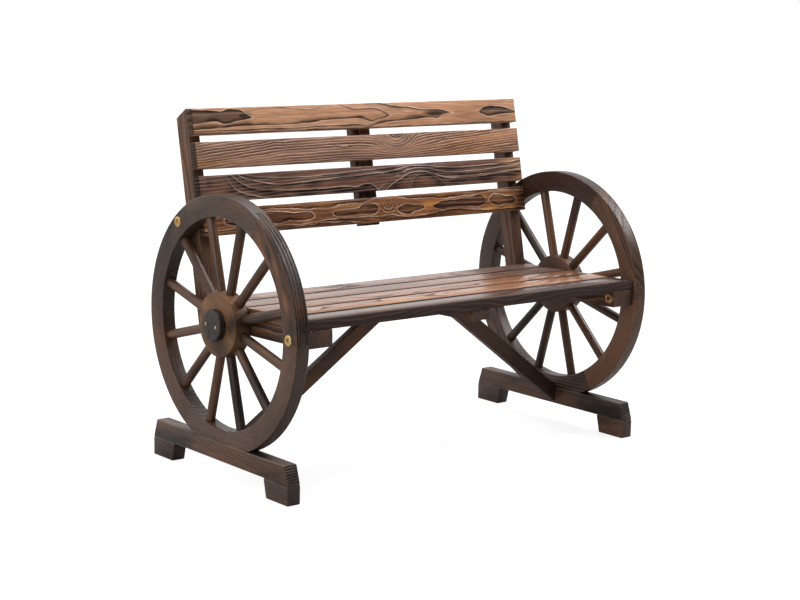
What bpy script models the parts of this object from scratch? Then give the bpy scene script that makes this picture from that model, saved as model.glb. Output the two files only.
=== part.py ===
"""Wagon wheel bench: two spoked wooden wheels on feet carry a slatted seat and back.

Metres, +Z up. The front faces -Y, +X is to the right seen from the front, and the origin is on
the floor midway between the wheels, below their axles.
"""

import math

import bmesh
import bpy
from mathutils import Matrix, Vector

# Gap between faces that touch, and the planed arris on every board
FIT = 0.0003
ARRIS = 0.0015

# Wheels
WHEEL_RADIUS = 0.280
RIM_WIDTH = 0.049
RIM_THICKNESS = 0.033
RIM_FLAT_DEPTH = 0.0205
FELLOES = 6
TONGUE_LENGTH = 0.022
TONGUE_THICKNESS = 0.011
SPOKES = 12
SPOKE_RADIUS = 0.0105
FELLOE_MORTISE_DEPTH = 0.024
HUB_RADIUS = 0.071
HUB_PROUD = 0.007
HUB_CHAMFER = 0.003
HUB_WEB = 0.004
CAP_RADIUS = 0.0345
CAP_THICKNESS = 0.016
CAP_ROUND = 0.004

# Feet: a bar on two blocks
FOOT_LENGTH = 0.523
FOOT_SETBACK = 0.008
FOOT_BAR_HEIGHT = 0.0421
FOOT_BLOCK_HEIGHT = 0.042
FOOT_BLOCK_LENGTH = 0.078
FOOT_BLOCK_SPLAY = 0.010
FOOT_END_SLOPE = 0.0135

# Seat: slats on two bearers and a middle batten
SEAT_LENGTH = 0.960
SEAT_HEIGHT = 0.390
SEAT_REACH = 0.270
SEAT_TILT = math.radians(1.2)
SEAT_SLATS = 5
SEAT_SLAT_WIDTH = 0.068
SEAT_SLAT_THICKNESS = 0.022
SEAT_SLAT_GAP = 0.0075
BEARER_WIDTH = 0.066
BEARER_HEIGHT = 0.037
BEARER_TAIL = 0.035
BATTEN_WIDTH = 0.054
SEAT_BATTEN_THICKNESS = 0.025
SEAT_BATTEN_SETBACK = 0.004

# Back: slats on two posts, tied by a middle batten
BACK_TOP = 0.794
BACK_LEAN = math.radians(11.5)
BACK_SLATS = 4
BACK_SLAT_HEIGHT = 0.0587
BACK_SLAT_THICKNESS = 0.023
BACK_SLAT_GAP = 0.0154
POST_WIDTH = 0.030
POST_DEPTH = 0.042
POST_RISE = 0.004
POST_TOP_DROP = 0.0165
BACK_BATTEN_THICKNESS = 0.022
BACK_BATTEN_DROP = 0.005

# Braces from the feet to the middle of the seat
BRACE_WIDTH = 0.035
BRACE_THICKNESS = 0.022
BRACE_OFFSET = -0.008
BRACE_TIP_HEIGHT = 0.048
BRACE_NOSE = 0.004
BRACE_INSET = 0.016
BRACE_LEAN = 0.030

# Facets
ARC_STEP = math.radians(3)
DOWEL_SIDES = 16
HUB_SIDES = 48
ROUND_STEPS = 4
SHARP_ANGLE = math.radians(40)
FLAT_ANGLE = math.radians(0.1)
WELD = 1e-6

# Sizes that follow from the ones above
RIM_INNER = WHEEL_RADIUS - RIM_WIDTH
RIM_MIDDLE = WHEEL_RADIUS - RIM_WIDTH / 2
SEAT_HALF = SEAT_LENGTH / 2
RIM_FACE = SEAT_HALF + FIT
WHEEL_PLANE = RIM_FACE + RIM_THICKNESS / 2
FOOT_TOP = FOOT_BLOCK_HEIGHT + FOOT_BAR_HEIGHT
RIM_FLAT = WHEEL_RADIUS - RIM_FLAT_DEPTH
AXLE_HEIGHT = FOOT_TOP + FIT + RIM_FLAT
SPOKE_SEAT = (SPOKE_RADIUS + FIT + HUB_WEB / 2) / math.sin(math.pi / SPOKES)
SEAT_DEPTH = SEAT_SLATS * SEAT_SLAT_WIDTH + (SEAT_SLATS - 1) * SEAT_SLAT_GAP
SEAT_UNDERSIDE = -SEAT_SLAT_THICKNESS
BEARER_TOP = SEAT_UNDERSIDE - FIT
BEARER_UNDERSIDE = BEARER_TOP - BEARER_HEIGHT
BACK_FACE = -FIT - BACK_SLAT_THICKNESS

SIDES = {"left": -1, "right": 1}

# Colour and roughness of each kind of piece
FINISHES = {
    "rim": ((0.105, 0.078, 0.064), 0.42),
    "spoke": ((0.150, 0.085, 0.058), 0.40),
    "hub": ((0.190, 0.095, 0.050), 0.38),
    "cap": ((0.075, 0.066, 0.060), 0.45),
    "foot": ((0.110, 0.084, 0.070), 0.45),
    "seat": ((0.300, 0.165, 0.105), 0.30),
    "back": ((0.330, 0.150, 0.075), 0.32),
    "frame": ((0.120, 0.080, 0.060), 0.42),
}


def seat_frame():
    """Seat coordinates: origin on the front top edge, +Y back along the slats' tops."""
    place = Matrix.Translation((0, -SEAT_REACH, SEAT_HEIGHT))
    return place @ Matrix.Rotation(-SEAT_TILT, 4, "X")


def back_frame():
    """Back coordinates: +Z up the posts' front faces, from beside the seat's rear lower edge."""
    corner = seat_frame() @ Vector((0, SEAT_DEPTH, SEAT_UNDERSIDE))
    place = Matrix.Translation(corner + Vector((0, FIT / math.cos(BACK_LEAN), 0)))
    return place @ Matrix.Rotation(-BACK_LEAN, 4, "X")


def back_slats_top():
    """Height of the top slat's upper edge in back coordinates."""
    base = back_frame().translation.z
    return (BACK_TOP - base + BACK_FACE * math.sin(BACK_LEAN)) / math.cos(BACK_LEAN)


def turn(angle):
    """Turn about the axle that carries the wheel's frontmost point up by the angle."""
    return Matrix.Rotation(-angle, 4, "X")


def arc(start, stop):
    """Evenly spaced angles from start to stop, no further apart than the arc step."""
    steps = max(1, math.ceil((stop - start) / ARC_STEP - WELD))
    return [start + (stop - start) * step / steps for step in range(steps + 1)]


def mesh_from(name, shape):
    """Mesh data from a bmesh, with its faces turned outwards."""
    bmesh.ops.recalc_face_normals(shape, faces=shape.faces[:])
    mesh = bpy.data.meshes.new(name)
    shape.to_mesh(mesh)
    shape.free()
    return mesh


def carved(mesh, cutter):
    """The mesh with the cutter's shape taken out of it."""
    body = bpy.data.objects.new(mesh.name, mesh)
    tool = bpy.data.objects.new(cutter.name, cutter)
    for item in (body, tool):
        bpy.context.scene.collection.objects.link(item)
    cut = body.modifiers.new("cut", "BOOLEAN")
    cut.operation = "DIFFERENCE"
    cut.object = tool
    graph = bpy.context.evaluated_depsgraph_get()
    result = bpy.data.meshes.new_from_object(body.evaluated_get(graph))
    for item in (body, tool):
        bpy.data.objects.remove(item)
    return result


def soften(shape):
    """Plane a small flat along every edge of a board."""
    bmesh.ops.bevel(
        shape,
        geom=shape.edges[:],
        offset=ARRIS,
        offset_type="OFFSET",
        segments=1,
        profile=0.5,
        affect="EDGES",
        clamp_overlap=True,
        material=-1,
    )


def board_mesh(name, across, along, upright):
    """Board between its limits on X, Y and Z."""
    shape = bmesh.new()
    limits = [sorted(pair) for pair in (across, along, upright)]
    centre = Vector([(low + high) / 2 for low, high in limits])
    size = Vector([high - low for low, high in limits])
    place = Matrix.Translation(centre) @ Matrix.Diagonal(size).to_4x4()
    bmesh.ops.create_cube(shape, size=1, matrix=place)
    soften(shape)
    return mesh_from(name, shape)


def sawn_mesh(name, outline, place, extent):
    """Board sawn to an outline: place turns an outline point and a depth into a position."""
    shape = bmesh.new()
    low, high = sorted(extent)
    face = shape.faces.new([shape.verts.new(place(a, b, low)) for a, b in outline])
    grown = bmesh.ops.extrude_face_region(shape, geom=[face])["geom"]
    moved = [item for item in grown if isinstance(item, bmesh.types.BMVert)]
    shift = Vector(place(0, 0, high)) - Vector(place(0, 0, low))
    bmesh.ops.translate(shape, verts=moved, vec=shift)
    bmesh.ops.recalc_face_normals(shape, faces=shape.faces[:])
    soften(shape)
    return mesh_from(name, shape)


def turned_mesh(name, profile):
    """Turned piece about X, from points of position and radius that begin and end on the axis."""
    shape = bmesh.new()
    points = [shape.verts.new((x, -radius, 0)) for x, radius in profile]
    edges = [shape.edges.new(pair) for pair in zip(points, points[1:])]
    bmesh.ops.spin(
        shape,
        geom=points + edges,
        cent=(0, 0, 0),
        axis=(1, 0, 0),
        angle=math.tau,
        steps=HUB_SIDES,
        use_merge=True,
    )
    bmesh.ops.remove_doubles(shape, verts=shape.verts[:], dist=WELD)
    return mesh_from(name, shape)


def add_dowel(shape, radius, inner, outer, angle=0.0):
    """Add a round rod that points out from the axle, between two radii, at an angle."""
    middle = Matrix.Translation((0, -(inner + outer) / 2, 0))
    bmesh.ops.create_cone(
        shape,
        cap_ends=True,
        segments=DOWEL_SIDES,
        radius1=radius,
        radius2=radius,
        depth=outer - inner,
        matrix=turn(angle) @ middle @ Matrix.Rotation(math.pi / 2, 4, "X"),
    )


def spoke_angles():
    """Angles of the spokes round the axle, two to each felloe."""
    return [(number + 0.5) * math.tau / SPOKES for number in range(SPOKES)]


def spoke_mesh():
    """Dowel from its seat in the hub to its seat in the felloe, at angle zero."""
    shape = bmesh.new()
    add_dowel(shape, SPOKE_RADIUS, SPOKE_SEAT + FIT, RIM_INNER + FELLOE_MORTISE_DEPTH - FIT)
    return mesh_from("spoke", shape)


def hub_mesh():
    """Turned hub with a mortise for each spoke, proud of the rim on its outer side."""
    inner, outer = -RIM_THICKNESS / 2, RIM_THICKNESS / 2 + HUB_PROUD
    shoulder = HUB_RADIUS - HUB_CHAMFER
    profile = [
        (inner, 0),
        (inner, shoulder),
        (inner + HUB_CHAMFER, HUB_RADIUS),
        (outer - HUB_CHAMFER, HUB_RADIUS),
        (outer, shoulder),
        (outer, 0),
    ]
    mortises = bmesh.new()
    for angle in spoke_angles():
        add_dowel(mortises, SPOKE_RADIUS + FIT, SPOKE_SEAT, HUB_RADIUS + RIM_WIDTH, angle)
    return carved(turned_mesh("hub", profile), mesh_from("hub mortises", mortises))


def cap_mesh():
    """Turned cap with a rounded outer edge, its inner face at X = 0."""
    profile = [(0, 0), (0, CAP_RADIUS)]
    for step in range(ROUND_STEPS + 1):
        swing = math.pi / 2 * step / ROUND_STEPS
        rise = CAP_THICKNESS - CAP_ROUND + CAP_ROUND * math.sin(swing)
        profile.append((rise, CAP_RADIUS - CAP_ROUND + CAP_ROUND * math.cos(swing)))
    return turned_mesh("hub cap", profile + [(CAP_THICKNESS, 0)])


def felloe_mesh(flattened):
    """Felloe round angle zero: a slot at its start, a tongue at its end and two mortises.

    The middle ply is shifted along the ring by the tongue's length, so each felloe's tongue fills
    the next one's slot.
    """
    gap = FIT / RIM_MIDDLE
    tongue = TONGUE_LENGTH / RIM_MIDDLE
    end = (math.pi - FELLOES * gap / 2) / FELLOES
    slot_end = tongue - end
    angles = arc(-end, slot_end)[:-1] + arc(slot_end, end)[:-1] + arc(end, end + tongue)
    if flattened:
        corner = math.acos(RIM_FLAT / WHEEL_RADIUS)
        angles = sorted(angles + [-corner, corner])
    plies = [-RIM_THICKNESS / 2, -TONGUE_THICKNESS / 2 - FIT, -TONGUE_THICKNESS / 2]
    plies += [-level for level in reversed(plies)]

    def is_wood(step, ply):
        if not (0 <= step < len(angles) - 1 and 0 <= ply < len(plies) - 1):
            return False
        middle = (angles[step] + angles[step + 1]) / 2
        if middle < slot_end:
            return ply in (0, len(plies) - 2)
        return middle < end or ply == len(plies) // 2 - 1

    shape = bmesh.new()
    corners = {}

    def corner_at(step, level, outside):
        key = (step, level, outside)
        if key not in corners:
            angle = angles[step]
            radius = RIM_INNER
            if outside:
                radius = min(WHEEL_RADIUS, RIM_FLAT / math.cos(angle)) if flattened else WHEEL_RADIUS
            position = Vector((plies[level], -radius, 0))
            corners[key] = shape.verts.new(turn(angle) @ position)
        return corners[key]

    def add_face(*keys):
        shape.faces.new([corner_at(*key) for key in keys])

    for step in range(len(angles) - 1):
        for ply in range(len(plies) - 1):
            if not is_wood(step, ply):
                continue
            for outside in (False, True):
                ring = [(step, ply), (step + 1, ply), (step + 1, ply + 1), (step, ply + 1)]
                add_face(*[(*spot, outside) for spot in ring])
            for beside, edge in ((step - 1, step), (step + 1, step + 1)):
                if not is_wood(beside, ply):
                    low, high = (edge, ply), (edge, ply + 1)
                    add_face((*low, False), (*high, False), (*high, True), (*low, True))
            for beside, level in ((ply - 1, ply), (ply + 1, ply + 1)):
                if not is_wood(step, beside):
                    near, far = (step, level), (step + 1, level)
                    add_face((*near, False), (*far, False), (*far, True), (*near, True))
    bmesh.ops.dissolve_limit(
        shape, angle_limit=FLAT_ANGLE, verts=shape.verts[:], edges=shape.edges[:]
    )
    mortises = bmesh.new()
    for number in (-0.5, 0.5):
        angle = number * math.tau / SPOKES
        depth = RIM_INNER + FELLOE_MORTISE_DEPTH
        add_dowel(mortises, SPOKE_RADIUS + FIT, RIM_INNER - RIM_WIDTH, depth, angle)
    return carved(mesh_from("felloe", shape), mesh_from("felloe mortises", mortises))


def finish_material(kind):
    """Stained and varnished wood of one kind of piece."""
    material = bpy.data.materials.get(kind)
    if material is None:
        colour, roughness = FINISHES[kind]
        material = bpy.data.materials.new(kind)
        material.use_nodes = True
        shader = material.node_tree.nodes["Principled BSDF"]
        shader.inputs["Base Color"].default_value = (*colour, 1)
        shader.inputs["Roughness"].default_value = roughness
        shader.inputs["Metallic"].default_value = 0
    return material


def add_piece(name, mesh, kind, parent, rotation=0.0, location=(0, 0, 0)):
    """Add one named piece, turned about its parent's X axis and moved within the parent."""
    piece = bpy.data.objects.new(name, mesh)
    if not mesh.materials:
        mesh.materials.append(finish_material(kind))
    piece.rotation_euler = (rotation, 0, 0)
    piece.location = location
    piece.parent = parent
    bpy.context.scene.collection.objects.link(piece)


def add_frame(name, matrix):
    """Add an empty that carries the pieces built in its coordinates."""
    frame = bpy.data.objects.new(name, None)
    frame.matrix_world = matrix
    bpy.context.scene.collection.objects.link(frame)
    return frame


def build_wheels():
    """Hub, cap, spokes and felloes of both wheels."""
    hub, cap, spoke = hub_mesh(), cap_mesh(), spoke_mesh()
    felloe, bottom_felloe = felloe_mesh(False), felloe_mesh(True)
    down = 3 * math.pi / 2
    for mesh in (hub, cap, spoke):
        mesh.shade_smooth()
        mesh.set_sharp_from_angle(angle=SHARP_ANGLE)
    for side, sign in SIDES.items():
        frame = add_frame(f"{side}_wheel", Matrix.Translation((sign * WHEEL_PLANE, 0, AXLE_HEIGHT)))
        outward = add_frame(f"{side}_axle", Matrix.Rotation(0 if sign > 0 else math.pi, 4, "Z"))
        outward.parent = frame
        add_piece(f"{side}_hub", hub, "hub", outward)
        cap_seat = RIM_THICKNESS / 2 + HUB_PROUD + FIT
        add_piece(f"{side}_hub_cap", cap, "cap", outward, location=(cap_seat, 0, 0))
        for number, angle in enumerate(spoke_angles(), 1):
            add_piece(f"{side}_spoke_{number:02d}", spoke, "spoke", frame, -angle)
        for number in range(FELLOES):
            angle = (number + 0.5) * math.tau / FELLOES
            is_bottom = math.isclose(angle, down)
            mesh = bottom_felloe if is_bottom else felloe
            add_piece(f"{side}_felloe_{number + 1}", mesh, "rim", frame, -angle)


def foot_outline():
    """Side view of a foot: two splayed blocks below a bar with sloped ends."""
    half = FOOT_LENGTH / 2
    inner = half - FOOT_BLOCK_LENGTH
    front = [
        (-half, 0),
        (-inner, 0),
        (-inner + FOOT_BLOCK_SPLAY, FOOT_BLOCK_HEIGHT),
    ]
    front_end = [(-half + FOOT_END_SLOPE, FOOT_TOP), (-half, FOOT_BLOCK_HEIGHT)]
    rear = [(-y, z) for y, z in reversed(front)]
    rear_end = [(-y, z) for y, z in reversed(front_end)]
    return front + rear + rear_end + front_end


def build_feet():
    """A foot under each wheel, as thick as the rim."""
    root = add_frame("feet", Matrix.Identity(4))
    for side, sign in SIDES.items():
        extent = (sign * RIM_FACE, sign * (RIM_FACE + RIM_THICKNESS))
        mesh = sawn_mesh("foot", foot_outline(), lambda y, z, x: (x, y + FOOT_SETBACK, z), extent)
        add_piece(f"{side}_foot", mesh, "foot", root)


def build_seat():
    """Slats, the bearers under their ends and the batten under their middle."""
    frame = add_frame("seat", seat_frame())
    pitch = SEAT_SLAT_WIDTH + SEAT_SLAT_GAP
    for number in range(SEAT_SLATS):
        along = (number * pitch, number * pitch + SEAT_SLAT_WIDTH)
        mesh = board_mesh("seat slat", (-SEAT_HALF, SEAT_HALF), along, (SEAT_UNDERSIDE, 0))
        add_piece(f"seat_slat_{number + 1}", mesh, "seat", frame)
    tail = SEAT_DEPTH + BEARER_TAIL
    to_seat = seat_frame().inverted() @ back_frame()
    for side, sign in SIDES.items():
        across = (sign * (SEAT_HALF - BEARER_WIDTH), sign * SEAT_HALF)
        bearer = board_mesh("bearer", across, (0, tail), (BEARER_UNDERSIDE, BEARER_TOP))
        notch_across = (sign * (SEAT_HALF - POST_WIDTH - FIT), sign * (SEAT_HALF + BEARER_WIDTH))
        notch_along = (-FIT, POST_DEPTH + BEARER_TAIL)
        notch = board_mesh("post notch", notch_across, notch_along, (-SEAT_DEPTH, SEAT_DEPTH))
        notch.transform(to_seat)
        add_piece(f"{side}_seat_bearer", carved(bearer, notch), "frame", frame)
    across = (-BATTEN_WIDTH / 2, BATTEN_WIDTH / 2)
    along = (SEAT_BATTEN_SETBACK, SEAT_DEPTH - SEAT_BATTEN_SETBACK)
    upright = (BEARER_TOP - SEAT_BATTEN_THICKNESS, BEARER_TOP)
    batten = board_mesh("seat batten", across, along, upright)
    add_piece("seat_batten", batten, "frame", frame)


def build_back():
    """Slats, the posts behind their ends and the batten behind their middle."""
    frame = add_frame("back", back_frame())
    top = back_slats_top()
    pitch = BACK_SLAT_HEIGHT + BACK_SLAT_GAP
    for number in range(BACK_SLATS):
        upright = (top - number * pitch - BACK_SLAT_HEIGHT, top - number * pitch)
        mesh = board_mesh("back slat", (-SEAT_HALF, SEAT_HALF), (BACK_FACE, -FIT), upright)
        add_piece(f"back_slat_{number + 1}", mesh, "back", frame)
    bearer_corner = seat_frame() @ Vector((0, SEAT_DEPTH, BEARER_UNDERSIDE))
    foot = (back_frame().inverted() @ bearer_corner).z
    head = top + POST_RISE
    outline = [(0, foot), (POST_DEPTH, foot), (POST_DEPTH, head - POST_TOP_DROP), (0, head)]
    for side, sign in SIDES.items():
        extent = (sign * (SEAT_HALF - POST_WIDTH), sign * SEAT_HALF)
        mesh = sawn_mesh("post", outline, lambda y, z, x: (x, y, z), extent)
        add_piece(f"{side}_back_post", mesh, "frame", frame)
    lowest = top - (BACK_SLATS - 1) * pitch - BACK_SLAT_HEIGHT - BACK_BATTEN_DROP
    across = (-BATTEN_WIDTH / 2, BATTEN_WIDTH / 2)
    along = (0, BACK_BATTEN_THICKNESS)
    batten = board_mesh("back batten", across, along, (lowest, top - BACK_BATTEN_DROP))
    add_piece("back_batten", batten, "frame", frame)


def brace_outline():
    """Front view of the right brace: sawn upright at the foot, level under the slats."""
    rear = BRACE_OFFSET + BRACE_THICKNESS / 2
    seat = seat_frame()
    along = (rear + SEAT_REACH) / math.cos(SEAT_TILT) - SEAT_UNDERSIDE * math.tan(SEAT_TILT)
    top = (seat @ Vector((0, along, SEAT_UNDERSIDE))).z - FIT
    inner = BATTEN_WIDTH / 2 + BRACE_INSET
    tip = Vector((SEAT_HALF, BRACE_TIP_HEIGHT))
    nose = Vector((inner, top - BRACE_NOSE))
    slope = (nose.y - tip.y) / (tip.x - nose.x)
    rise = BRACE_WIDTH * math.hypot(1, slope)
    shoulder = tip.x - (top - tip.y - rise) / slope
    return [tip, (tip.x, tip.y + rise), (shoulder, top), (inner, top), nose]


def build_braces():
    """Sloping braces between the feet and the middle of the seat, leaning to the front."""
    root = add_frame("braces", Matrix.Identity(4))
    half = BRACE_THICKNESS / 2
    lean = BRACE_LEAN / (SEAT_HEIGHT - BRACE_TIP_HEIGHT)

    def place(x, z, y):
        return (x, y - lean * (z - BRACE_TIP_HEIGHT), z)

    for side, sign in SIDES.items():
        outline = [(sign * x, z) for x, z in brace_outline()]
        extent = (BRACE_OFFSET - half, BRACE_OFFSET + half)
        mesh = sawn_mesh("brace", outline, place, extent)
        add_piece(f"{side}_brace", mesh, "frame", root)


def main():
    """Clear the scene and build the bench."""
    for item in list(bpy.data.objects):
        bpy.data.objects.remove(item)
    build_wheels()
    build_feet()
    build_seat()
    build_back()
    build_braces()


if __name__ == "__main__":
    main()
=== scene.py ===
"""Looks of the wagon wheel bench: torched and varnished fir, brass-plated bolts, a white studio.

Metres, +Z up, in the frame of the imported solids. Every wooden piece takes its size and place from
the solid that it stands for.
"""

import logging
import math
from dataclasses import dataclass, replace
from enum import Enum
from typing import Optional, Sequence, Union

import bmesh
import bpy
from mathutils import Matrix, Vector, noise


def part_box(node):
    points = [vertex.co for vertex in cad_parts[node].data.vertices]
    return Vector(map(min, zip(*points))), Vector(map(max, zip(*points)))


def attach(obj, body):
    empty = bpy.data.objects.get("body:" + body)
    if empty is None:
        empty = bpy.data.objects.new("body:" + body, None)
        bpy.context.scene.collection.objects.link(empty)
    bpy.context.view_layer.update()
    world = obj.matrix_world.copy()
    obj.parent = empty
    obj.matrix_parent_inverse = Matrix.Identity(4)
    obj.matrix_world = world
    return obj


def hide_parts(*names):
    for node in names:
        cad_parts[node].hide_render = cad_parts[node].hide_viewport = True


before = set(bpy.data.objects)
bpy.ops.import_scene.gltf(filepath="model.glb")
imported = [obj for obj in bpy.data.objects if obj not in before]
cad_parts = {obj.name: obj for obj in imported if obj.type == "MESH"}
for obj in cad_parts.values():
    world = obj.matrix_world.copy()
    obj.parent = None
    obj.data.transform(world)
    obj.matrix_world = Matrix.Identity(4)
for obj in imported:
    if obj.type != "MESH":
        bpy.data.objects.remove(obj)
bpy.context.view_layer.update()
LOG = logging.getLogger("wagon_wheel_bench")

Colour = tuple[float, float, float]
Course = tuple[tuple[float, float], ...]
Socket = bpy.types.NodeSocket
Value = Union[float, Sequence[float], Socket]

# Axes of a piece in the frame: its own, or with its grain on Y or Z and its face on X
STRAIGHT = Matrix.Identity(4)
GRAIN_ON_Y = Matrix(((0, 0, 1), (1, 0, 0), (0, 1, 0))).to_4x4()
GRAIN_ON_Z = Matrix(((0, 0, 1), (0, -1, 0), (1, 0, 0))).to_4x4()

# Joints, and how far a cutter reaches past what it cuts
JOINT_GAP = 0.0004
BEYOND = 0.02

# Edges, facets and welds
SHARP_ANGLE = math.radians(32)
FLAT_ANGLE = math.radians(0.1)
WELD = 1e-6
ROUND_SEGMENTS = 3
FINE_SIDES = 72
DOWEL_SIDES = 24
KEY_SIDES = 6

# Planed faces: distance between the cuts that let them stray, and bumps along and across
CUT_SPACING = 0.02
BUMPS_ALONG = 7
BUMPS_ACROSS = 19

# Noise in the wood: features to the metre along the grain, across it and through the board
FADED_PATCHES = (6, 30, 30)
FIBRES = (18, 420, 420)
SOOT_CLOUDS = (5, 17, 17)
TOAST_CLOUDS = (9, 30, 30)
RING_WAVES = (32, 110, 110)
BORDER_WAVES = (26, 60, 0)
BURN_PATCHES = (13, 45, 0)

# Course of one year ring: its burnt side, its hard line, and how fast rings differ in depth
BURNT_SIDE = ((0, 0.8), (0.04, 1), (0.15, 0.95), (0.35, 0.55), (0.65, 0.12), (0.85, 0))
HARD_LINE = ((0, 0), (0.60, 0), (0.84, 1), (0.97, 1), (1, 0))
RING_PACE = 0.43

# How squarely a surface looks along an axis, from where a change starts to where it is whole
END_RINGS = (0.5, 0.9)
END_GRAIN = (0.25, 0.9)
SHOWN_FACE = (0.2, 0.6)
TOP_FACE = (0.05, 0.4)
NARROW_FACE = (0.55, 0.85)

# Soft edges of a streak's burn, and of its light line on the outside and the inside
BURN_SOFT = 0.0006
LINE_OUTER_SOFT = 0.0012
LINE_INNER_SOFT = 0.0004

# A drawn line lies in a square a metre along the board and this much across it
DRAWN_HEIGHT = 0.2
CENTIMETRES = 100


class Side(Enum):
    """The two ends of the bench, with their sign on X."""

    LEFT = -1
    RIGHT = 1

    @property
    def prefix(self) -> str:
        """First word of this side's node names."""
        return self.name.lower()


class Slot(Enum):
    """Material slots of the record."""

    RIM = "rim_wood"
    SPOKE = "spoke_wood"
    HUB = "hub_wood"
    CAP = "cap_wood"
    FOOT = "foot_wood"
    SEAT = "seat_wood"
    BACK = "back_wood"
    FRAME = "frame_wood"


class Cut(Enum):
    """How a board was sawn: where the heart of the log lies, across and below the face."""

    FLAT = (0.0, -0.060)
    RIFT = (-0.085, -0.035)
    QUARTER = (-0.110, 0.004)
    HEART = (0.004, -0.012)


class NodeSheet:
    """Short-hand for wiring one node tree."""

    def __init__(self, tree: bpy.types.NodeTree) -> None:
        """Empty the tree and keep it."""
        tree.nodes.clear()
        self.tree = tree

    def add(self, kind: str, inputs: dict, **settings: object) -> bpy.types.Node:
        """Add a node.

        Args:
            kind: Blender's name of the node type.
            inputs: value or socket for each input, by name or number.
            settings: the node's own properties.

        Returns:
            The new node.
        """
        node = self.tree.nodes.new(kind)
        for name, setting in settings.items():
            setattr(node, name, setting)
        for name, value in inputs.items():
            if isinstance(value, Socket):
                self.tree.links.new(value, node.inputs[name])
            else:
                node.inputs[name].default_value = value
        return node

    def maths(self, operation: str, *values: Value) -> Socket:
        """Result of a Math node."""
        return self.add("ShaderNodeMath", dict(enumerate(values)), operation=operation).outputs[0]

    def vector(self, operation: str, *values: Value, out: str = "Vector") -> Socket:
        """Result of a Vector Math node."""
        node = self.add("ShaderNodeVectorMath", dict(enumerate(values)), operation=operation)
        return node.outputs[out]

    def axes(self, point: Value) -> bpy.types.bpy_prop_collection:
        """Sockets X, Y and Z of a point."""
        return self.add("ShaderNodeSeparateXYZ", {0: point}).outputs

    def mapped(
        self,
        point: Value,
        location: Sequence[float] = (0, 0, 0),
        rotation: Sequence[float] = (0, 0, 0),
        scale: Sequence[float] = (1, 1, 1),
    ) -> Socket:
        """A point scaled, then turned, then moved."""
        inputs = {"Vector": point, "Location": location, "Rotation": rotation, "Scale": scale}
        return self.add("ShaderNodeMapping", inputs).outputs["Vector"]

    def cloud(self, point: Value, detail: float, out: str = "Fac") -> Socket:
        """Soft noise at a point that is already scaled."""
        inputs = {"Vector": point, "Scale": 1.0, "Detail": detail}
        return self.add("ShaderNodeTexNoise", inputs).outputs[out]

    def span(
        self, value: Value, low: float, high: float, start: float = 0.0, stop: float = 1.0
    ) -> Socket:
        """Smooth and clamped course of a value between two limits.

        Args:
            value: the value.
            low: limit where the course starts.
            high: limit where it stops.
            start: result at the low limit and past it.
            stop: result at the high limit and past it.

        Returns:
            The result.
        """
        names = ("Value", "From Min", "From Max", "To Min", "To Max")
        inputs = dict(zip(names, (value, low, high, start, stop)))
        node = self.add("ShaderNodeMapRange", inputs, interpolation_type="SMOOTHSTEP")
        return node.outputs["Result"]

    def ramp(self, value: Value, stops: Sequence[tuple[float, float]]) -> Socket:
        """Height of a line with straight stretches.

        Args:
            value: place along the line, from 0 to 1.
            stops: place and height of each of its corners.

        Returns:
            The height, as a grey colour.
        """
        node = self.add("ShaderNodeValToRGB", {"Fac": value})
        elements = node.color_ramp.elements
        while len(elements) < len(stops):
            elements.new(1.0)
        for element, (position, height) in zip(elements, stops):
            element.position = position
            element.color = (height, height, height, 1)
        return node.outputs["Color"]

    def mix(self, share: Value, first: Value, second: Value, blend: str = "MIX") -> Socket:
        """Two colours blended by a share.

        Args:
            share: how much of the second colour there is.
            first: the first colour.
            second: the second colour.
            blend: how the second is laid over the first.

        Returns:
            The blended colour.
        """
        inputs = {0: share}
        for number, colour in ((6, first), (7, second)):
            inputs[number] = colour if isinstance(colour, Socket) else (*colour, 1)
        node = self.add("ShaderNodeMix", inputs, data_type="RGBA", blend_type=blend, clamp_factor=True)
        return node.outputs[2]

    def course(self, along: Value, points: Course) -> Socket:
        """Height of a smooth line at a place along a board.

        Args:
            along: the place, from the board's middle.
            points: places along and across the board that the line passes, in centimetres.

        Returns:
            The line's place across the board.
        """
        node = self.add("ShaderNodeFloatCurve", {"Value": self.maths("ADD", along, 0.5)})
        node.mapping.extend = "EXTRAPOLATED"
        spots = node.mapping.curves[0].points
        while len(spots) < len(points):
            spots.new(1.0, 1.0)
        for spot, (x, y) in zip(spots, points):
            spot.location = (x / CENTIMETRES + 0.5, y / CENTIMETRES / DRAWN_HEIGHT + 0.5)
            spot.handle_type = "AUTO_CLAMPED"
        node.mapping.update()
        return self.maths("MULTIPLY_ADD", node.outputs[0], DRAWN_HEIGHT, -DRAWN_HEIGHT / 2)

    def blend(self, share: Value, first: Value, second: Value) -> Socket:
        """A number that goes from the first to the second as the share goes from 0 to 1."""
        return self.maths("MULTIPLY_ADD", share, self.maths("SUBTRACT", second, first), first)

    def bell(self, square: Value) -> Socket:
        """Height of a bell curve at a distance whose square is given, 1 at its middle."""
        return self.maths("EXPONENT", self.maths("MULTIPLY", square, -1.0))

    def grey(self, value: Socket) -> Socket:
        """A number as a grey colour."""
        return self.add("ShaderNodeCombineColor", {0: value, 1: value, 2: value}).outputs[0]


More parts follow.
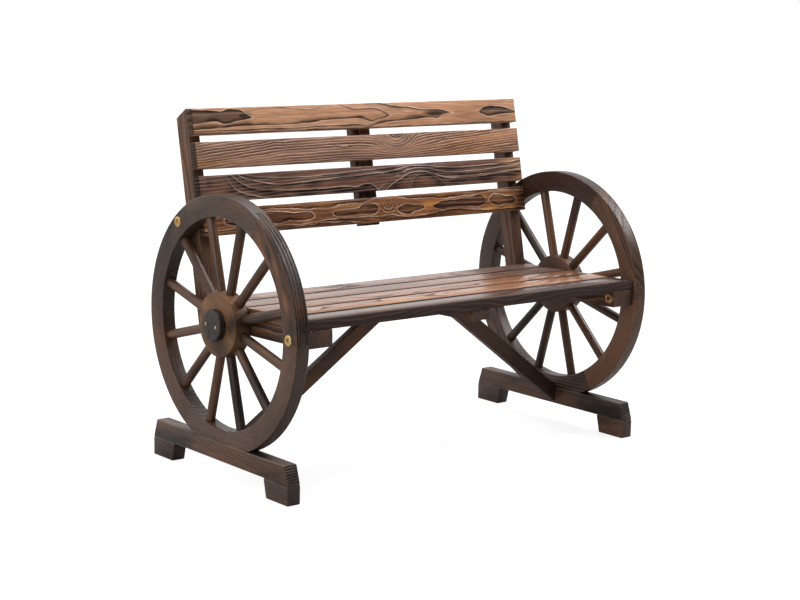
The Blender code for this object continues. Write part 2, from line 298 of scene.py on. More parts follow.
@dataclass(frozen=True)
class Swell:
    """Place where the year rings bulge through a board's face: a tongue, an island or a knot.

    Attributes:
        along: place along the board from its middle.
        across: place across the board from its middle.
        length: half length of the bulge.
        height: half height of the bulge.
        rings: how many rings it adds.
        flat: whether it is a plateau with steep sides, not a cone.
        core: whether a dark knot sits in it.
    """

    along: float
    across: float
    length: float
    height: float
    rings: float
    flat: bool = False
    core: bool = False

    def bulge(self, sheet: NodeSheet, point: Value) -> Socket:
        """Height of the bulge at a point of the board.

        Args:
            sheet: the material's nodes.
            point: the point, on the board's own axes.

        Returns:
            The height, 1 at the middle of the bulge.
        """
        scale = Vector((1 / self.length, 1 / self.height, 0))
        location = (-self.along * scale.x, -self.across * scale.y, 0)
        near = sheet.mapped(point, location=location, scale=scale)
        square = sheet.vector("DOT_PRODUCT", near, near, out="Value")
        return sheet.bell(sheet.maths("MULTIPLY", square, square) if self.flat else square)

    def reach(self, sheet: NodeSheet, point: Value) -> Socket:
        """About how far a point of the board lies inside the ellipse with these half sizes.

        Args:
            sheet: the material's nodes.
            point: the point, on the board's own axes.

        Returns:
            The distance, below zero outside.
        """
        near = sheet.mapped(point, location=(-self.along, -self.across, 0))
        sizes = Vector((1 / self.length, 1 / self.height, 0))
        once = sheet.vector("MULTIPLY", near, sizes)
        share = sheet.vector("LENGTH", once, out="Value")
        slope = sheet.vector("LENGTH", sheet.vector("MULTIPLY", once, sizes), out="Value")
        rest = sheet.maths("SUBTRACT", 1.0, share)
        return sheet.maths("DIVIDE", sheet.maths("MULTIPLY", rest, share), slope)


@dataclass(frozen=True)
class Streak:
    """Burnt part of a board's face along one year ring, bounded above, below or on both sides.

    Attributes:
        above: its upper border.
        below: its lower border.
        reach: how far the burn fades inwards from a border.
        core: how burnt it still is further in.
        depth: how burnt it is at the border.
        rim: how clear the hard light line outside the border is.
        width: how wide that line is.
    """

    above: Course = ()
    below: Course = ()
    reach: float = 0.003
    core: float = 0.0
    depth: float = 1.0
    rim: float = 0.5
    width: float = 0.0014

    def inward(self, sheet: NodeSheet, along: Value, across: Value) -> Socket:
        """How far a point of the face lies inside the nearest border.

        Args:
            sheet: the material's nodes.
            along: the point's place along the board.
            across: its place across the board.

        Returns:
            The distance, below zero outside.
        """
        depths = []
        if self.above:
            depths.append(sheet.maths("SUBTRACT", sheet.course(along, self.above), across))
        if self.below:
            depths.append(sheet.maths("SUBTRACT", across, sheet.course(along, self.below)))
        return sheet.maths("MINIMUM", *depths) if len(depths) > 1 else depths[0]

    def shares(
        self, sheet: NodeSheet, along: Value, across: Value, ease: Value
    ) -> tuple[Socket, Socket]:
        """Shares of burn and of light line at a point of the face.

        Args:
            sheet: the material's nodes.
            along: the point's place along the board.
            across: its place across the board.
            ease: how much faster than usual the burn fades there.

        Returns:
            Both shares.
        """
        inward = self.inward(sheet, along, across)
        scaled = sheet.maths("MULTIPLY", inward, sheet.maths("MULTIPLY", ease, 1 / self.reach))
        fade = sheet.bell(sheet.maths("MULTIPLY", scaled, scaled))
        fade = sheet.maths("MULTIPLY_ADD", fade, self.depth - self.core, self.core)
        inside = sheet.span(inward, 0, BURN_SOFT)
        burn = sheet.maths("MULTIPLY", inside, sheet.maths("MINIMUM", fade, 1.0))
        outer = sheet.span(inward, -self.width - LINE_OUTER_SOFT, -self.width)
        line = sheet.maths("MULTIPLY", outer, sheet.span(inward, 0, -LINE_INNER_SOFT))
        clear = sheet.span(ease, 0.5, 1.3, 0.35 * self.rim, self.rim)
        return burn, sheet.maths("MULTIPLY", line, clear)


@dataclass(frozen=True)
class Loop(Streak):
    """Burnt island with a round border.

    Attributes:
        swells: ellipses that the border runs round.
        blend: how softly they merge.
    """

    swells: tuple[Swell, ...] = ()
    blend: float = 0.008

    def inward(self, sheet: NodeSheet, along: Value, across: Value) -> Socket:
        """How far a point of the face lies inside the border.

        Args:
            sheet: the material's nodes.
            along: the point's place along the board.
            across: its place across the board.

        Returns:
            The distance, below zero outside.
        """
        spot = sheet.add("ShaderNodeCombineXYZ", {0: along, 1: across}).outputs[0]
        inward = None
        for swell in self.swells:
            reach = swell.reach(sheet, spot)
            inward = reach if inward is None else sheet.maths("SMOOTH_MAX", inward, reach, self.blend)
        return inward


@dataclass(frozen=True)
class Figure:
    """Course of the year rings through one piece.

    Attributes:
        cut: how the piece was sawn.
        spacing: distance between rings, below zero where they count up towards the heart.
        shift: how far the heart is moved across and away from the face.
        start: part of a ring at the middle of the face.
        slope: turn of the heart in the face and through it, in radians.
        wander: how far the rings stray.
        reach: length over which they stray.
        girth: width over which they stray.
        ripple: short waves in them, as a part of a ring.
        seed: picks the board.
        swells: bulges in the rings.
        course: line that the rings follow on the face instead of circles round the heart.
        plain: how strong the plain rings are beside the streaks.
        streaks: single rings drawn on the face.
        blots: soft dark spots, with their strength as rings.
        tints: soft bright spots, with their strength as rings.
        ragged: how far the borders of streaks stray.
    """

    cut: Cut = Cut.FLAT
    spacing: float = 0.0045
    shift: tuple[float, float] = (0.0, 0.0)
    start: float = 0.5
    slope: tuple[float, float] = (0.0, 0.0)
    wander: float = 0.010
    reach: float = 0.22
    girth: float = 0.07
    ripple: float = 0.15
    seed: float = 0.0
    swells: tuple[Swell, ...] = ()
    course: Course = ()
    plain: float = 1.0
    streaks: tuple[Streak, ...] = ()
    blots: tuple[Swell, ...] = ()
    tints: tuple[Swell, ...] = ()
    ragged: float = 0.0011

    def rings(self, sheet: NodeSheet, point: Value, face: float) -> Socket:
        """Number of rings between the middle of the face and a point of the piece.

        Args:
            sheet: the material's nodes.
            point: the point, on the piece's own axes.
            face: height of the face above the piece's middle.

        Returns:
            The number, with its part of a ring.
        """
        coarse = (1 / self.reach, 1 / self.girth, 1 / self.girth)
        course = sheet.mapped(point, location=(self.seed, 2.7 * self.seed, 0.3), scale=coarse)
        stray = sheet.vector("SUBTRACT", sheet.cloud(course, 1.5, "Color"), (0.5, 0.5, 0.5))
        if self.course:
            bent = sheet.vector("MULTIPLY_ADD", stray, (0, 2 * self.wander, 0), point)
            axes = sheet.axes(bent)
            beyond = sheet.maths("SUBTRACT", axes["Y"], sheet.course(axes["X"], self.course))
        else:
            heart = Vector((0, self.cut.value[0] + self.shift[0], self.cut.value[1] + self.shift[1]))
            depth = (Vector((0, 0, face)) - heart).length
            turned = sheet.mapped(point, location=-heart, rotation=(0, self.slope[1], self.slope[0]))
            bent = sheet.vector("MULTIPLY_ADD", stray, (0, 2 * self.wander, 2 * self.wander), turned)
            flat = sheet.vector("MULTIPLY", bent, (0, 1, 1))
            beyond = sheet.maths("SUBTRACT", sheet.vector("LENGTH", flat, out="Value"), depth)
        count = sheet.maths("MULTIPLY_ADD", beyond, 1 / self.spacing, self.start)
        waves = sheet.cloud(sheet.mapped(point, (0, 0, self.seed), scale=RING_WAVES), 2)
        count = sheet.maths("MULTIPLY_ADD", waves, 2 * self.ripple, count)
        for swell in self.swells:
            count = sheet.maths("MULTIPLY_ADD", swell.bulge(sheet, point), swell.rings, count)
        return count

    def drawn(
        self, sheet: NodeSheet, point: Value, burnt: Value, crest: Value
    ) -> tuple[Socket, Socket]:
        """Burn and light lines with the streaks and blots added to the plain rings.

        Args:
            sheet: the material's nodes.
            point: a point of the piece, on its own axes.
            burnt: burn of the plain rings.
            crest: light line of the plain rings.

        Returns:
            Both shares.
        """
        if self.plain != 1:
            burnt, crest = (sheet.maths("MULTIPLY", value, self.plain) for value in (burnt, crest))
        if self.streaks:
            jitter = sheet.cloud(sheet.mapped(point, (self.seed, 0, 0), scale=BORDER_WAVES), 2)
            stray = sheet.span(jitter, 0.2, 0.8, -self.ragged, self.ragged)
            axes = sheet.axes(point)
            across = sheet.maths("ADD", axes["Y"], stray)
            press = sheet.cloud(sheet.mapped(point, (self.seed, 3, 0), scale=BURN_PATCHES), 1)
            ease = sheet.span(press, 0.3, 0.7, 0.45, 1.5)
            for streak in self.streaks:
                burn, line = streak.shares(sheet, axes["X"], across, ease)
                burnt = sheet.maths("MAXIMUM", burnt, burn)
                crest = sheet.maths("MAXIMUM", crest, line)
        for blot in self.blots:
            dark = sheet.maths("MULTIPLY", blot.bulge(sheet, point), blot.rings)
            burnt = sheet.maths("MAXIMUM", burnt, dark)
        return burnt, crest

    def cores(self, sheet: NodeSheet, point: Value) -> Optional[Socket]:
        """Share of dark knot at a point.

        Args:
            sheet: the material's nodes.
            point: the point, on the piece's own axes.

        Returns:
            The share, or nothing where the piece has no knots.
        """
        share = None
        for swell in self.swells:
            if swell.core:
                dark = sheet.span(swell.bulge(sheet, point), 0.80, 0.97)
                share = dark if share is None else sheet.maths("MAXIMUM", share, dark)
        return share


@dataclass(frozen=True)
class Surface:
    """What a material reads at a point of its piece.

    Attributes:
        sheet: the material's nodes.
        point: the point, on the piece's own axes, with X along the grain and Z out of its face.
        normal: where the surface looks, in the frame.
        turned: turn from the frame to the piece's own axes.
        half: half sizes of the piece.
        bend: radius of the middle line of a piece that is sawn to a curve.
        arris: width of the edges.
    """

    sheet: NodeSheet
    point: Socket
    normal: Socket
    turned: Matrix
    half: Vector
    bend: float
    arris: float = 0.004

    @classmethod
    def read(cls, sheet: NodeSheet, place: Matrix, half: Vector, bend: float) -> "Surface":
        """Add the nodes that read a point of a piece.

        Args:
            sheet: the material's nodes.
            place: from the piece's own axes to the frame.
            half: half sizes on those axes.
            bend: radius of the middle line of a curved piece, or 0.

        Returns:
            The surface.
        """
        inverse = place.inverted()
        spot = sheet.add("ShaderNodeTexCoord", {}).outputs["Object"]
        point = sheet.mapped(spot, inverse.translation, inverse.to_euler("XYZ"))
        normal = sheet.add("ShaderNodeNewGeometry", {}).outputs["Normal"]
        return cls(sheet, point, normal, inverse.to_3x3(), half, bend)

    def noise(self, seed: Sequence[float], scale: Sequence[float], detail: float) -> Socket:
        """Soft noise on the piece's own axes."""
        return self.sheet.cloud(self.sheet.mapped(self.point, seed, scale=scale), detail)

    def facing(self, axis: int) -> Socket:
        """How squarely the surface looks along one of the piece's axes, -1 for away from it."""
        return self.sheet.vector("DOT_PRODUCT", self.normal, self.turned.row[axis], out="Value")

    def lying(self, axis: int) -> Socket:
        """How squarely the surface looks either way along one of the piece's axes."""
        return self.sheet.maths("ABSOLUTE", self.facing(axis))

    def near(self, place: Socket, limit: float, width: float, inner: float) -> Socket:
        """Share of border at a place on one axis: from its width to an inner part of it."""
        away = self.sheet.maths("ABSOLUTE", place)
        return self.sheet.span(away, limit - width, limit - inner)

    def border(self, width: float) -> Socket:
        """Share of border along the long edges of the shown face."""
        aside = self.near(self.sheet.axes(self.point)["Y"], self.half.y, width, width / 3)
        return self.sheet.maths("MULTIPLY", aside, self.sheet.span(self.facing(2), *TOP_FACE))

    def edge(self) -> Socket:
        """Share of edge along the grain.

        Returns:
            1 on the edges, 0 on the faces.
        """
        axes = self.sheet.axes(self.point)
        across = axes["Y"]
        if self.bend:
            centred = self.sheet.mapped(self.point, (0, self.bend, 0))
            centred = self.sheet.vector("MULTIPLY", centred, (1, 1, 0))
            radius = self.sheet.vector("LENGTH", centred, out="Value")
            across = self.sheet.maths("SUBTRACT", radius, self.bend)
        sides = []
        for place, limit in ((across, self.half.y), (axes["Z"], self.half.z)):
            sides.append(self.near(place, limit, self.arris, self.arris / 4))
        return self.sheet.maths("MINIMUM", *sides)


def new_material(name: str) -> tuple[bpy.types.Material, NodeSheet]:
    """Empty material.

    Args:
        name: its name.

    Returns:
        The material and its nodes.
    """
    material = bpy.data.materials.new(name)
    material.use_nodes = True
    return material, NodeSheet(material.node_tree)


@dataclass(frozen=True)
class Wood:
    """Torched, brushed and varnished fir.

    Attributes:
        body: colour of the plain wood.
        char: colour of the burnt side of a ring.
        ridge: colour of the hard line between rings.
        glow: colour where the flame only toasted the wood.
        burn: how dark the burnt side is.
        crest: how clear the hard line is.
        scorch: how much is clouded by soot.
        toast: how much shows the glow.
        flank: painted shade, how much darker the narrow faces along the grain are painted for the light they
            miss.
        wear: how far edges are worn through to light wood, partly real wear and partly a painted highlight on
            the edges.
        singe: whether the face is charred along its long edges.
        border: width of those dark edges.
        fade: how far the rings fade out in places.
        bare: how clearly the end grain shows its rings.
        end: how much darker end grain is.
        roughness: of the varnish.
        sheen: how much the varnish mirrors, with 0.5 for a plain clear coat.
        relief: height of the brushed grain.
    """

    body: Colour
    char: Colour
    ridge: Colour
    glow: Colour
    burn: float = 0.8
    crest: float = 0.5
    scorch: float = 0.4
    toast: float = 0.15
    flank: float = 0.0
    wear: float = 0.25
    singe: bool = False
    border: float = 0.0035
    fade: float = 0.4
    bare: float = 0.0
    end: float = 0.45
    roughness: float = 0.38
    sheen: float = 0.3
    relief: float = 0.0005

    def dress(
        self, name: str, place: Matrix, half: Vector, figure: Figure, bend: float = 0.0
    ) -> bpy.types.Material:
        """Material for one piece.

        Args:
            name: name of the piece.
            place: from the piece's own axes, with X along the grain, to the frame.
            half: half sizes on those axes.
            figure: course of its year rings.
            bend: radius of the middle line of a piece that is sawn to a curve.

        Returns:
            The material.
        """
        material, sheet = new_material(name)
        surface = Surface.read(sheet, place, half, bend)
        burnt, crest = self._grain(surface, figure)
        fibre = surface.noise((figure.seed, 0, 0), FIBRES, 3)
        colour = self._stain(surface, figure, burnt, crest)
        gloss = sheet.maths("MULTIPLY_ADD", burnt, 0.14, self.roughness)

        # Lighter edges: partly real wear, partly a painted highlight.
        worn_and_glinting_edge = sheet.maths("MULTIPLY", surface.edge(), sheet.span(fibre, 0.38, 0.62, 0, self.wear))
        colour = sheet.mix(worn_and_glinting_edge, colour, self.ridge)
        if self.singe:
            border = surface.border(self.border)
            colour = sheet.mix(border, colour, self.char)
            dull = sheet.maths("MAXIMUM", border, sheet.span(burnt, 0.40, 0.95))
            gloss = sheet.maths("MULTIPLY_ADD", dull, 0.6, gloss)
        strands = sheet.grey(sheet.span(fibre, 0.25, 0.75, 0.72, 1.2))
        colour = sheet.mix(1.0, colour, strands, "MULTIPLY")
        colour = sheet.mix(sheet.span(surface.lying(0), *END_GRAIN, 0, self.end), colour, self.char)
        # Painted shade: narrow faces along the grain, such as a rim's tread and inner face, a cap's side and
        # the sides of the seat slats in their gaps, are darkened for the light they miss.
        if self.flank:
            beside = sheet.span(surface.lying(1), *NARROW_FACE, 0, self.flank)
            colour = sheet.mix(beside, colour, self.char)

        vary = 0.2 * self.roughness
        gloss = sheet.maths("ADD", gloss, sheet.span(fibre, 0.3, 0.7, -vary, vary))
        height = sheet.maths("SUBTRACT", sheet.maths("MULTIPLY", crest, 0.5), burnt)
        height = sheet.maths("MULTIPLY_ADD", fibre, 0.8, height)
        bump = sheet.add("ShaderNodeBump", {"Strength": 0.7, "Distance": self.relief, "Height": height})
        inputs = {"Base Color": colour, "Roughness": gloss, "Normal": bump.outputs["Normal"]}
        shader = sheet.add("ShaderNodeBsdfPrincipled", {**inputs, "Specular IOR Level": self.sheen})
        sheet.add("ShaderNodeOutputMaterial", {"Surface": shader.outputs["BSDF"]})
        return material

    def _grain(self, surface: Surface, figure: Figure) -> tuple[Socket, Socket]:
        """Shares of burn and of hard line at a point of a piece.

        Args:
            surface: the point.
            figure: course of the piece's year rings.

        Returns:
            Both shares.
        """
        sheet = surface.sheet
        count = figure.rings(sheet, surface.point, surface.half.z)
        part = sheet.maths("FRACT", count)
        order = sheet.maths("MULTIPLY", count, RING_PACE)
        depth = sheet.add("ShaderNodeTexNoise", {"W": order, "Scale": 1.0}, noise_dimensions="1D")
        strength = sheet.span(depth.outputs["Fac"], 0.28, 0.62, 0.40 * self.burn, self.burn)
        patch = surface.noise((figure.seed, 0, 9), FADED_PATCHES, 2)
        clear = sheet.span(patch, 0.36, 0.58, 1 - self.fade, 1)
        strength = sheet.maths("MULTIPLY", strength, clear)
        burnt = sheet.maths("MULTIPLY", sheet.ramp(part, BURNT_SIDE), strength)
        crest = sheet.maths("MULTIPLY", sheet.ramp(part, HARD_LINE), clear)
        plain = (burnt, crest)
        drawn = figure.drawn(sheet, surface.point, *plain)
        if figure.streaks:
            shown = sheet.span(surface.facing(2), *SHOWN_FACE)
            drawn = tuple(sheet.blend(shown, *pair) for pair in zip(plain, drawn))
        bare = sheet.span(surface.lying(0), *END_RINGS, 0, self.bare)
        ends = (sheet.maths("MULTIPLY", value, bare) for value in plain)
        burnt, crest = (sheet.maths("MAXIMUM", *pair) for pair in zip(drawn, ends))
        return burnt, crest

    def _stain(self, surface: Surface, figure: Figure, burnt: Socket, crest: Socket) -> Socket:
        """Colour that flame and soot give a point of a piece.

        Args:
            surface: the point.
            figure: course of the piece's year rings.
            burnt: share of burn there.
            crest: share of hard line there.

        Returns:
            The colour.
        """
        sheet = surface.sheet
        toast = sheet.span(surface.noise((0, 0, figure.seed), TOAST_CLOUDS, 2), 0.50, 0.72, 0, self.toast)
        for tint in figure.tints:
            toast = sheet.maths("MULTIPLY_ADD", tint.bulge(sheet, surface.point), tint.rings, toast)
        soot = sheet.span(surface.noise((0, figure.seed, 0), SOOT_CLOUDS, 3), 0.44, 0.70, 0, self.scorch)
        colour = sheet.mix(toast, self.body, self.glow)
        colour = sheet.mix(burnt, colour, self.char)
        colour = sheet.mix(sheet.maths("MULTIPLY", crest, self.crest), colour, self.ridge)
        colour = sheet.mix(soot, colour, self.char)
        core = figure.cores(sheet, surface.point)
        return colour if core is None else sheet.mix(core, colour, self.char)


@dataclass(frozen=True)
class Metal:
    """Plated steel, a little tarnished.

    Attributes:
        bright: colour of clean plating.
        dull: colour of tarnish.
        roughness: of the clean plating.
        stains: spots of tarnish to the metre.
        scuffs: scuffs to the metre.
        relief: depth of the scuffs.
    """

    bright: Colour
    dull: Colour
    roughness: float
    stains: float = 160
    scuffs: float = 900
    relief: float = 0.0002

    def dress(self, name: str) -> bpy.types.Material:
        """Material for one fastener.

        Args:
            name: name of the fastener.

        Returns:
            The material.
        """
        material, sheet = new_material(name)
        point = sheet.add("ShaderNodeTexCoord", {}).outputs["Object"]
        cloud = sheet.cloud(sheet.mapped(point, scale=(self.stains,) * 3), 4)
        stain = sheet.span(cloud, 0.42, 0.66)
        scuff = sheet.cloud(sheet.mapped(point, scale=(self.scuffs,) * 3), 2)
        gloss = sheet.maths("ADD", sheet.span(stain, 0, 1, 0, 0.25), sheet.span(scuff, 0.3, 0.7, 0, 0.12))
        gloss = sheet.maths("ADD", gloss, self.roughness)
        bump = sheet.add("ShaderNodeBump", {"Strength": 0.25, "Distance": self.relief, "Height": scuff})
        colour = sheet.mix(sheet.maths("MULTIPLY", stain, 0.7), self.bright, self.dull)
        inputs = {"Base Color": colour, "Roughness": gloss, "Normal": bump.outputs["Normal"]}
        shader = sheet.add("ShaderNodeBsdfPrincipled", {**inputs, "Metallic": 1.0})
        sheet.add("ShaderNodeOutputMaterial", {"Surface": shader.outputs["BSDF"]})
        return material


def turn(angle: float) -> Matrix:
    """Turn about the axle that carries a wheel's frontmost point up by the angle."""
    return Matrix.Rotation(-angle, 4, "X")


def limits(node: str, lay: Matrix) -> tuple[Vector, Vector]:
    """Corners of a solid along turned axes.

    Args:
        node: name of the solid.
        lay: turn from those axes to the frame.

    Returns:
        Its lowest and highest corner on those axes.
    """
    inverse = lay.inverted()
    corners = [inverse @ vertex.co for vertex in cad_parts[node].data.vertices]
    return Vector(map(min, zip(*corners))), Vector(map(max, zip(*corners)))


def whole(shape: bmesh.types.BMesh) -> list:
    """Every vertex, edge and face of a shape."""
    return shape.verts[:] + shape.edges[:] + shape.faces[:]


def round_off(shape: bmesh.types.BMesh, items: Sequence, width: float, affect: str = "EDGES") -> None:
    """Round some edges or corners of a shape off to a small radius.

    Args:
        shape: the piece, changed in place.
        items: the edges or corners.
        width: the radius.
        affect: which of the two they are, in Blender's words.
    """
    bmesh.ops.bevel(
        shape,
        geom=list(items),
        offset=width,
        offset_type="OFFSET",
        segments=ROUND_SEGMENTS,
        profile=0.5,
        affect=affect,
        clamp_overlap=True,
        material=-1,
    )


def weather(shape: bmesh.types.BMesh, depth: float, seed: float) -> None:
    """Make planed faces slightly uneven.

    Args:
        shape: the piece, changed in place.
        depth: how far a face strays.
        seed: picks the pattern.
    """
    shape.normal_update()
    for vertex in shape.verts:
        x, y, z = vertex.co
        spot = Vector((x * BUMPS_ALONG + seed, y * BUMPS_ACROSS, z * BUMPS_ACROSS - seed))
        vertex.co += vertex.normal * (depth * noise.noise(spot))


def cut_across(shape: bmesh.types.BMesh, low: float, high: float) -> None:
    """Cut rings across a shape's X axis, so that its long faces can stray.

    Args:
        shape: the piece, changed in place.
        low: where it starts on X.
        high: where it ends.
    """
    steps = max(1, round((high - low) / CUT_SPACING))
    for step in range(1, steps):
        spot = (low + (high - low) * step / steps, 0, 0)
        bmesh.ops.bisect_plane(shape, geom=whole(shape), plane_co=spot, plane_no=(1, 0, 0))


def mesh_from(name: str, shape: bmesh.types.BMesh) -> bpy.types.Mesh:
    """Mesh data from a shape, with its faces turned outwards and round parts smooth.

    Args:
        name: name of the mesh.
        shape: the shape, which is used up.

    Returns:
        The mesh.
    """
    bmesh.ops.recalc_face_normals(shape, faces=shape.faces[:])
    mesh = bpy.data.meshes.new(name)
    shape.to_mesh(mesh)
    shape.free()
    smooth(mesh)
    return mesh


def smooth(mesh: bpy.types.Mesh) -> None:
    """Shade a mesh smooth between its sharp edges."""
    mesh.shade_smooth()
    mesh.set_sharp_from_angle(angle=SHARP_ANGLE)


def carved(mesh: bpy.types.Mesh, cutter: bpy.types.Mesh) -> bpy.types.Mesh:
    """Mesh with another one's shape taken out of it.

    Args:
        mesh: the mesh.
        cutter: what is taken out.

    Returns:
        The new mesh.
    """
    body = bpy.data.objects.new(mesh.name, mesh)
    tool = bpy.data.objects.new(cutter.name, cutter)
    for item in (body, tool):
        bpy.context.scene.collection.objects.link(item)
    cut = body.modifiers.new("cut", "BOOLEAN")
    cut.operation = "DIFFERENCE"
    cut.object = tool
    graph = bpy.context.evaluated_depsgraph_get()
    result = bpy.data.meshes.new_from_object(body.evaluated_get(graph))
    for item in (body, tool):
        bpy.data.objects.remove(item)
    smooth(result)
    return result


def add_rod(
    shape: bmesh.types.BMesh,
    radius: float,
    low: float,
    high: float,
    sides: int = DOWEL_SIDES,
    place: Matrix = STRAIGHT,
) -> None:
    """Add a round or sided rod along X.

    Args:
        shape: where it goes.
        radius: its radius.
        low: where it starts on X.
        high: where it ends on X.
        sides: how many sides it has.
        place: from its own axes to the shape's.
    """
    middle = Matrix.Translation(((low + high) / 2, 0, 0)) @ Matrix.Rotation(math.pi / 2, 4, "Y")
    bmesh.ops.create_cone(
        shape,
        cap_ends=True,
        segments=sides,
        radius1=radius,
        radius2=radius,
        depth=high - low,
        matrix=place @ middle,
    )


def sharp_edges(shape: bmesh.types.BMesh) -> list[bmesh.types.BMEdge]:
    """Edges where two faces meet at more than the smooth angle."""
    return [edge for edge in shape.edges if edge.is_manifold and edge.calc_face_angle() > SHARP_ANGLE]


def show(
    name: str,
    mesh: bpy.types.Mesh,
    material: bpy.types.Material,
    nodes: Sequence[str] = (),
) -> None:
    """Put one finished piece on the bench.

    Args:
        name: name of the piece.
        mesh: its mesh, in place.
        material: its finish.
        nodes: solids that it stands for.
    """
    piece = bpy.data.objects.new(name, mesh)
    mesh.materials.clear()
    mesh.materials.append(material)
    bpy.context.scene.collection.objects.link(piece)
    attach(piece, "root")
    if nodes:
        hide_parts(*nodes)
    LOG.info("%s: %d faces", name, len(mesh.polygons))


@dataclass
class Board:
    """A planed board that stands for one box-shaped solid.

    Attributes:
        node: the solid.
        lay: turn from the board's axes, with X along the grain and Z out of its face, to the frame.
        wood: its finish.
        figure: course of its year rings.
        slot: the record's material slot, which is not used.
        arris: radius of its edges.
        stray: how uneven its faces are.
    """

    node: str
    lay: Matrix
    wood: Wood
    figure: Figure
    slot: Slot
    arris: float = 0.0020
    stray: float = 0.0004

    def build(self) -> None:
        """Model the board on its own axes, put it in place and show it."""
        low, high = limits(self.node, self.lay)
        place = self.lay @ Matrix.Translation((low + high) / 2)
        half = (high - low) / 2
        material = self.wood.dress(self.node, place, half, self.figure)
        show(self.node, self._mesh(place, half), material, [self.node])

    def _mesh(self, place: Matrix, half: Vector) -> bpy.types.Mesh:
        """Mesh of the board.

        Args:
            place: the board's axes at its middle.
            half: its half sizes on them.

        Returns:
            The mesh, in place.
        """
        shape = bmesh.new()
        bmesh.ops.create_cube(shape, size=2, matrix=Matrix.Diagonal((*half, 1)))
        round_off(shape, shape.edges, self.arris)
        cut_across(shape, -half.x, half.x)
        weather(shape, self.stray, self.figure.seed)
        mesh = mesh_from(self.node, shape)
        mesh.transform(place)
        return mesh


@dataclass
class SawnBoard(Board):
    """A board sawn to an outline, refined from the solid that it stands for."""

    arris: float = 0.0005

    def _mesh(self, place: Matrix, half: Vector) -> bpy.types.Mesh:
        """Mesh of the board, from a merged copy of its solid.

        Args:
            place: not needed, because the solid is in place.
            half: not needed either.

        Returns:
            The mesh, in place.
        """
        shape = bmesh.new()
        shape.from_mesh(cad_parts[self.node].data)
        bmesh.ops.remove_doubles(shape, verts=shape.verts[:], dist=WELD)
        bmesh.ops.dissolve_limit(shape, angle_limit=FLAT_ANGLE, verts=shape.verts[:], edges=shape.edges[:])
        round_off(shape, sharp_edges(shape), self.arris)
        return mesh_from(self.node, shape)


# Finishes
ORANGE = Wood(
    body=(0.53, 0.272, 0.152),
    char=(0.012, 0.006, 0.005),
    ridge=(0.80, 0.60, 0.46),
    glow=(0.66, 0.40, 0.25),
    burn=1.0,
    crest=0.7,
    scorch=0.04,
    toast=0.45,
    fade=0.7,
    end=0.85,
    sheen=0.12,
    relief=0.0008,
)
ROSE = Wood(
    body=(0.410, 0.218, 0.142),
    char=(0.014, 0.005, 0.003),
    ridge=(0.68, 0.49, 0.39),
    glow=(0.46, 0.20, 0.085),
    burn=1.0,
    crest=0.70,
    scorch=0.22,
    toast=0.30,
    fade=0.5,
    end=0.85,
    sheen=0.12,
    relief=0.0008,
)
SMOKED = Wood(
    body=(0.150, 0.068, 0.046),
    char=(0.003, 0.002, 0.002),
    ridge=(0.54, 0.40, 0.33),
    glow=(0.46, 0.22, 0.090),
    burn=1.0,
    crest=0.95,
    scorch=0.30,
    toast=0.15,
    fade=0.7,
    end=0.85,
    sheen=0.10,
    relief=0.0010,
)
RUSSET = Wood(
    body=(0.195, 0.074, 0.031),
    char=(0.016, 0.003, 0.001),
    ridge=(0.60, 0.40, 0.28),
    glow=(0.56, 0.24, 0.060),
    burn=1.0,
    crest=0.95,
    scorch=0.10,
    toast=0.40,
    fade=0.7,
    end=0.85,
    sheen=0.12,
    relief=0.0010,
)
SEAT_WOOD = Wood(
    body=(0.14, 0.058, 0.034),
    char=(0.016, 0.008, 0.006),
    ridge=(0.26, 0.115, 0.060),
    glow=(0.27, 0.11, 0.045),
    burn=0.7,
    crest=0.5,
    scorch=0.25,
    toast=0.35,
    wear=0.0,
    singe=True,
    border=0.0024,
    roughness=0.21,
    sheen=0.52,
    relief=0.00003,
)
RIM_WOOD = Wood(
    body=(0.082, 0.040, 0.022),
    char=(0.006, 0.004, 0.003),
    ridge=(0.16, 0.085, 0.052),
    glow=(0.22, 0.085, 0.030),
    burn=1.0,
    crest=0.6,
    scorch=0.85,
    toast=0.45,
    # painted shade on the tread and the inner face
    flank=0.45,
    wear=0.35,
    end=0.25,
    roughness=0.34,
    sheen=0.4,
    relief=0.0014,
)
SPOKE_WOOD = replace(
    RIM_WOOD, body=(0.105, 0.047, 0.024), glow=(0.16, 0.066, 0.027), flank=0.0, wear=0.0, relief=0.0008
)
HUB_WOOD = replace(
    RIM_WOOD,
    body=(0.195, 0.092, 0.041),
    glow=(0.29, 0.130, 0.050),
    scorch=0.35,
    toast=0.7,
    flank=0.0,
    sheen=0.25,
)
DARK_HUB_WOOD = replace(HUB_WOOD, body=(0.140, 0.066, 0.040), glow=(0.17, 0.075, 0.04), scorch=0.6)
CAP_WOOD = replace(
    RIM_WOOD,
    body=(0.050, 0.038, 0.031),
    ridge=(0.06, 0.05, 0.04),
    glow=(0.05, 0.04, 0.03),
    # painted shade on the cap's side
    flank=0.7,
    end=0.7,
)
FOOT_WOOD = replace(
    RIM_WOOD,
    body=(0.098, 0.050, 0.031),
    ridge=(0.32, 0.25, 0.20),
    crest=0.22,
    scorch=0.90,
    toast=0.6,
    flank=0.0,
    bare=2.6,
    end=0.0,
    roughness=0.4,
    relief=0.0011,
)
BLOCK_WOOD = replace(FOOT_WOOD, body=(0.068, 0.040, 0.030), toast=0.2, bare=0.0, end=0.5)
RINGED_WOOD = replace(BLOCK_WOOD, body=(0.190, 0.086, 0.050), scorch=0.6)
FRAME_WOOD = Wood(
    body=(0.100, 0.044, 0.023),
    char=(0.007, 0.005, 0.004),
    ridge=(0.21, 0.105, 0.060),
    glow=(0.28, 0.105, 0.030),
    burn=1.0,
    crest=0.6,
    scorch=0.50,
    toast=0.45,
    end=0.30,
    roughness=0.40,
    relief=0.0010,
)
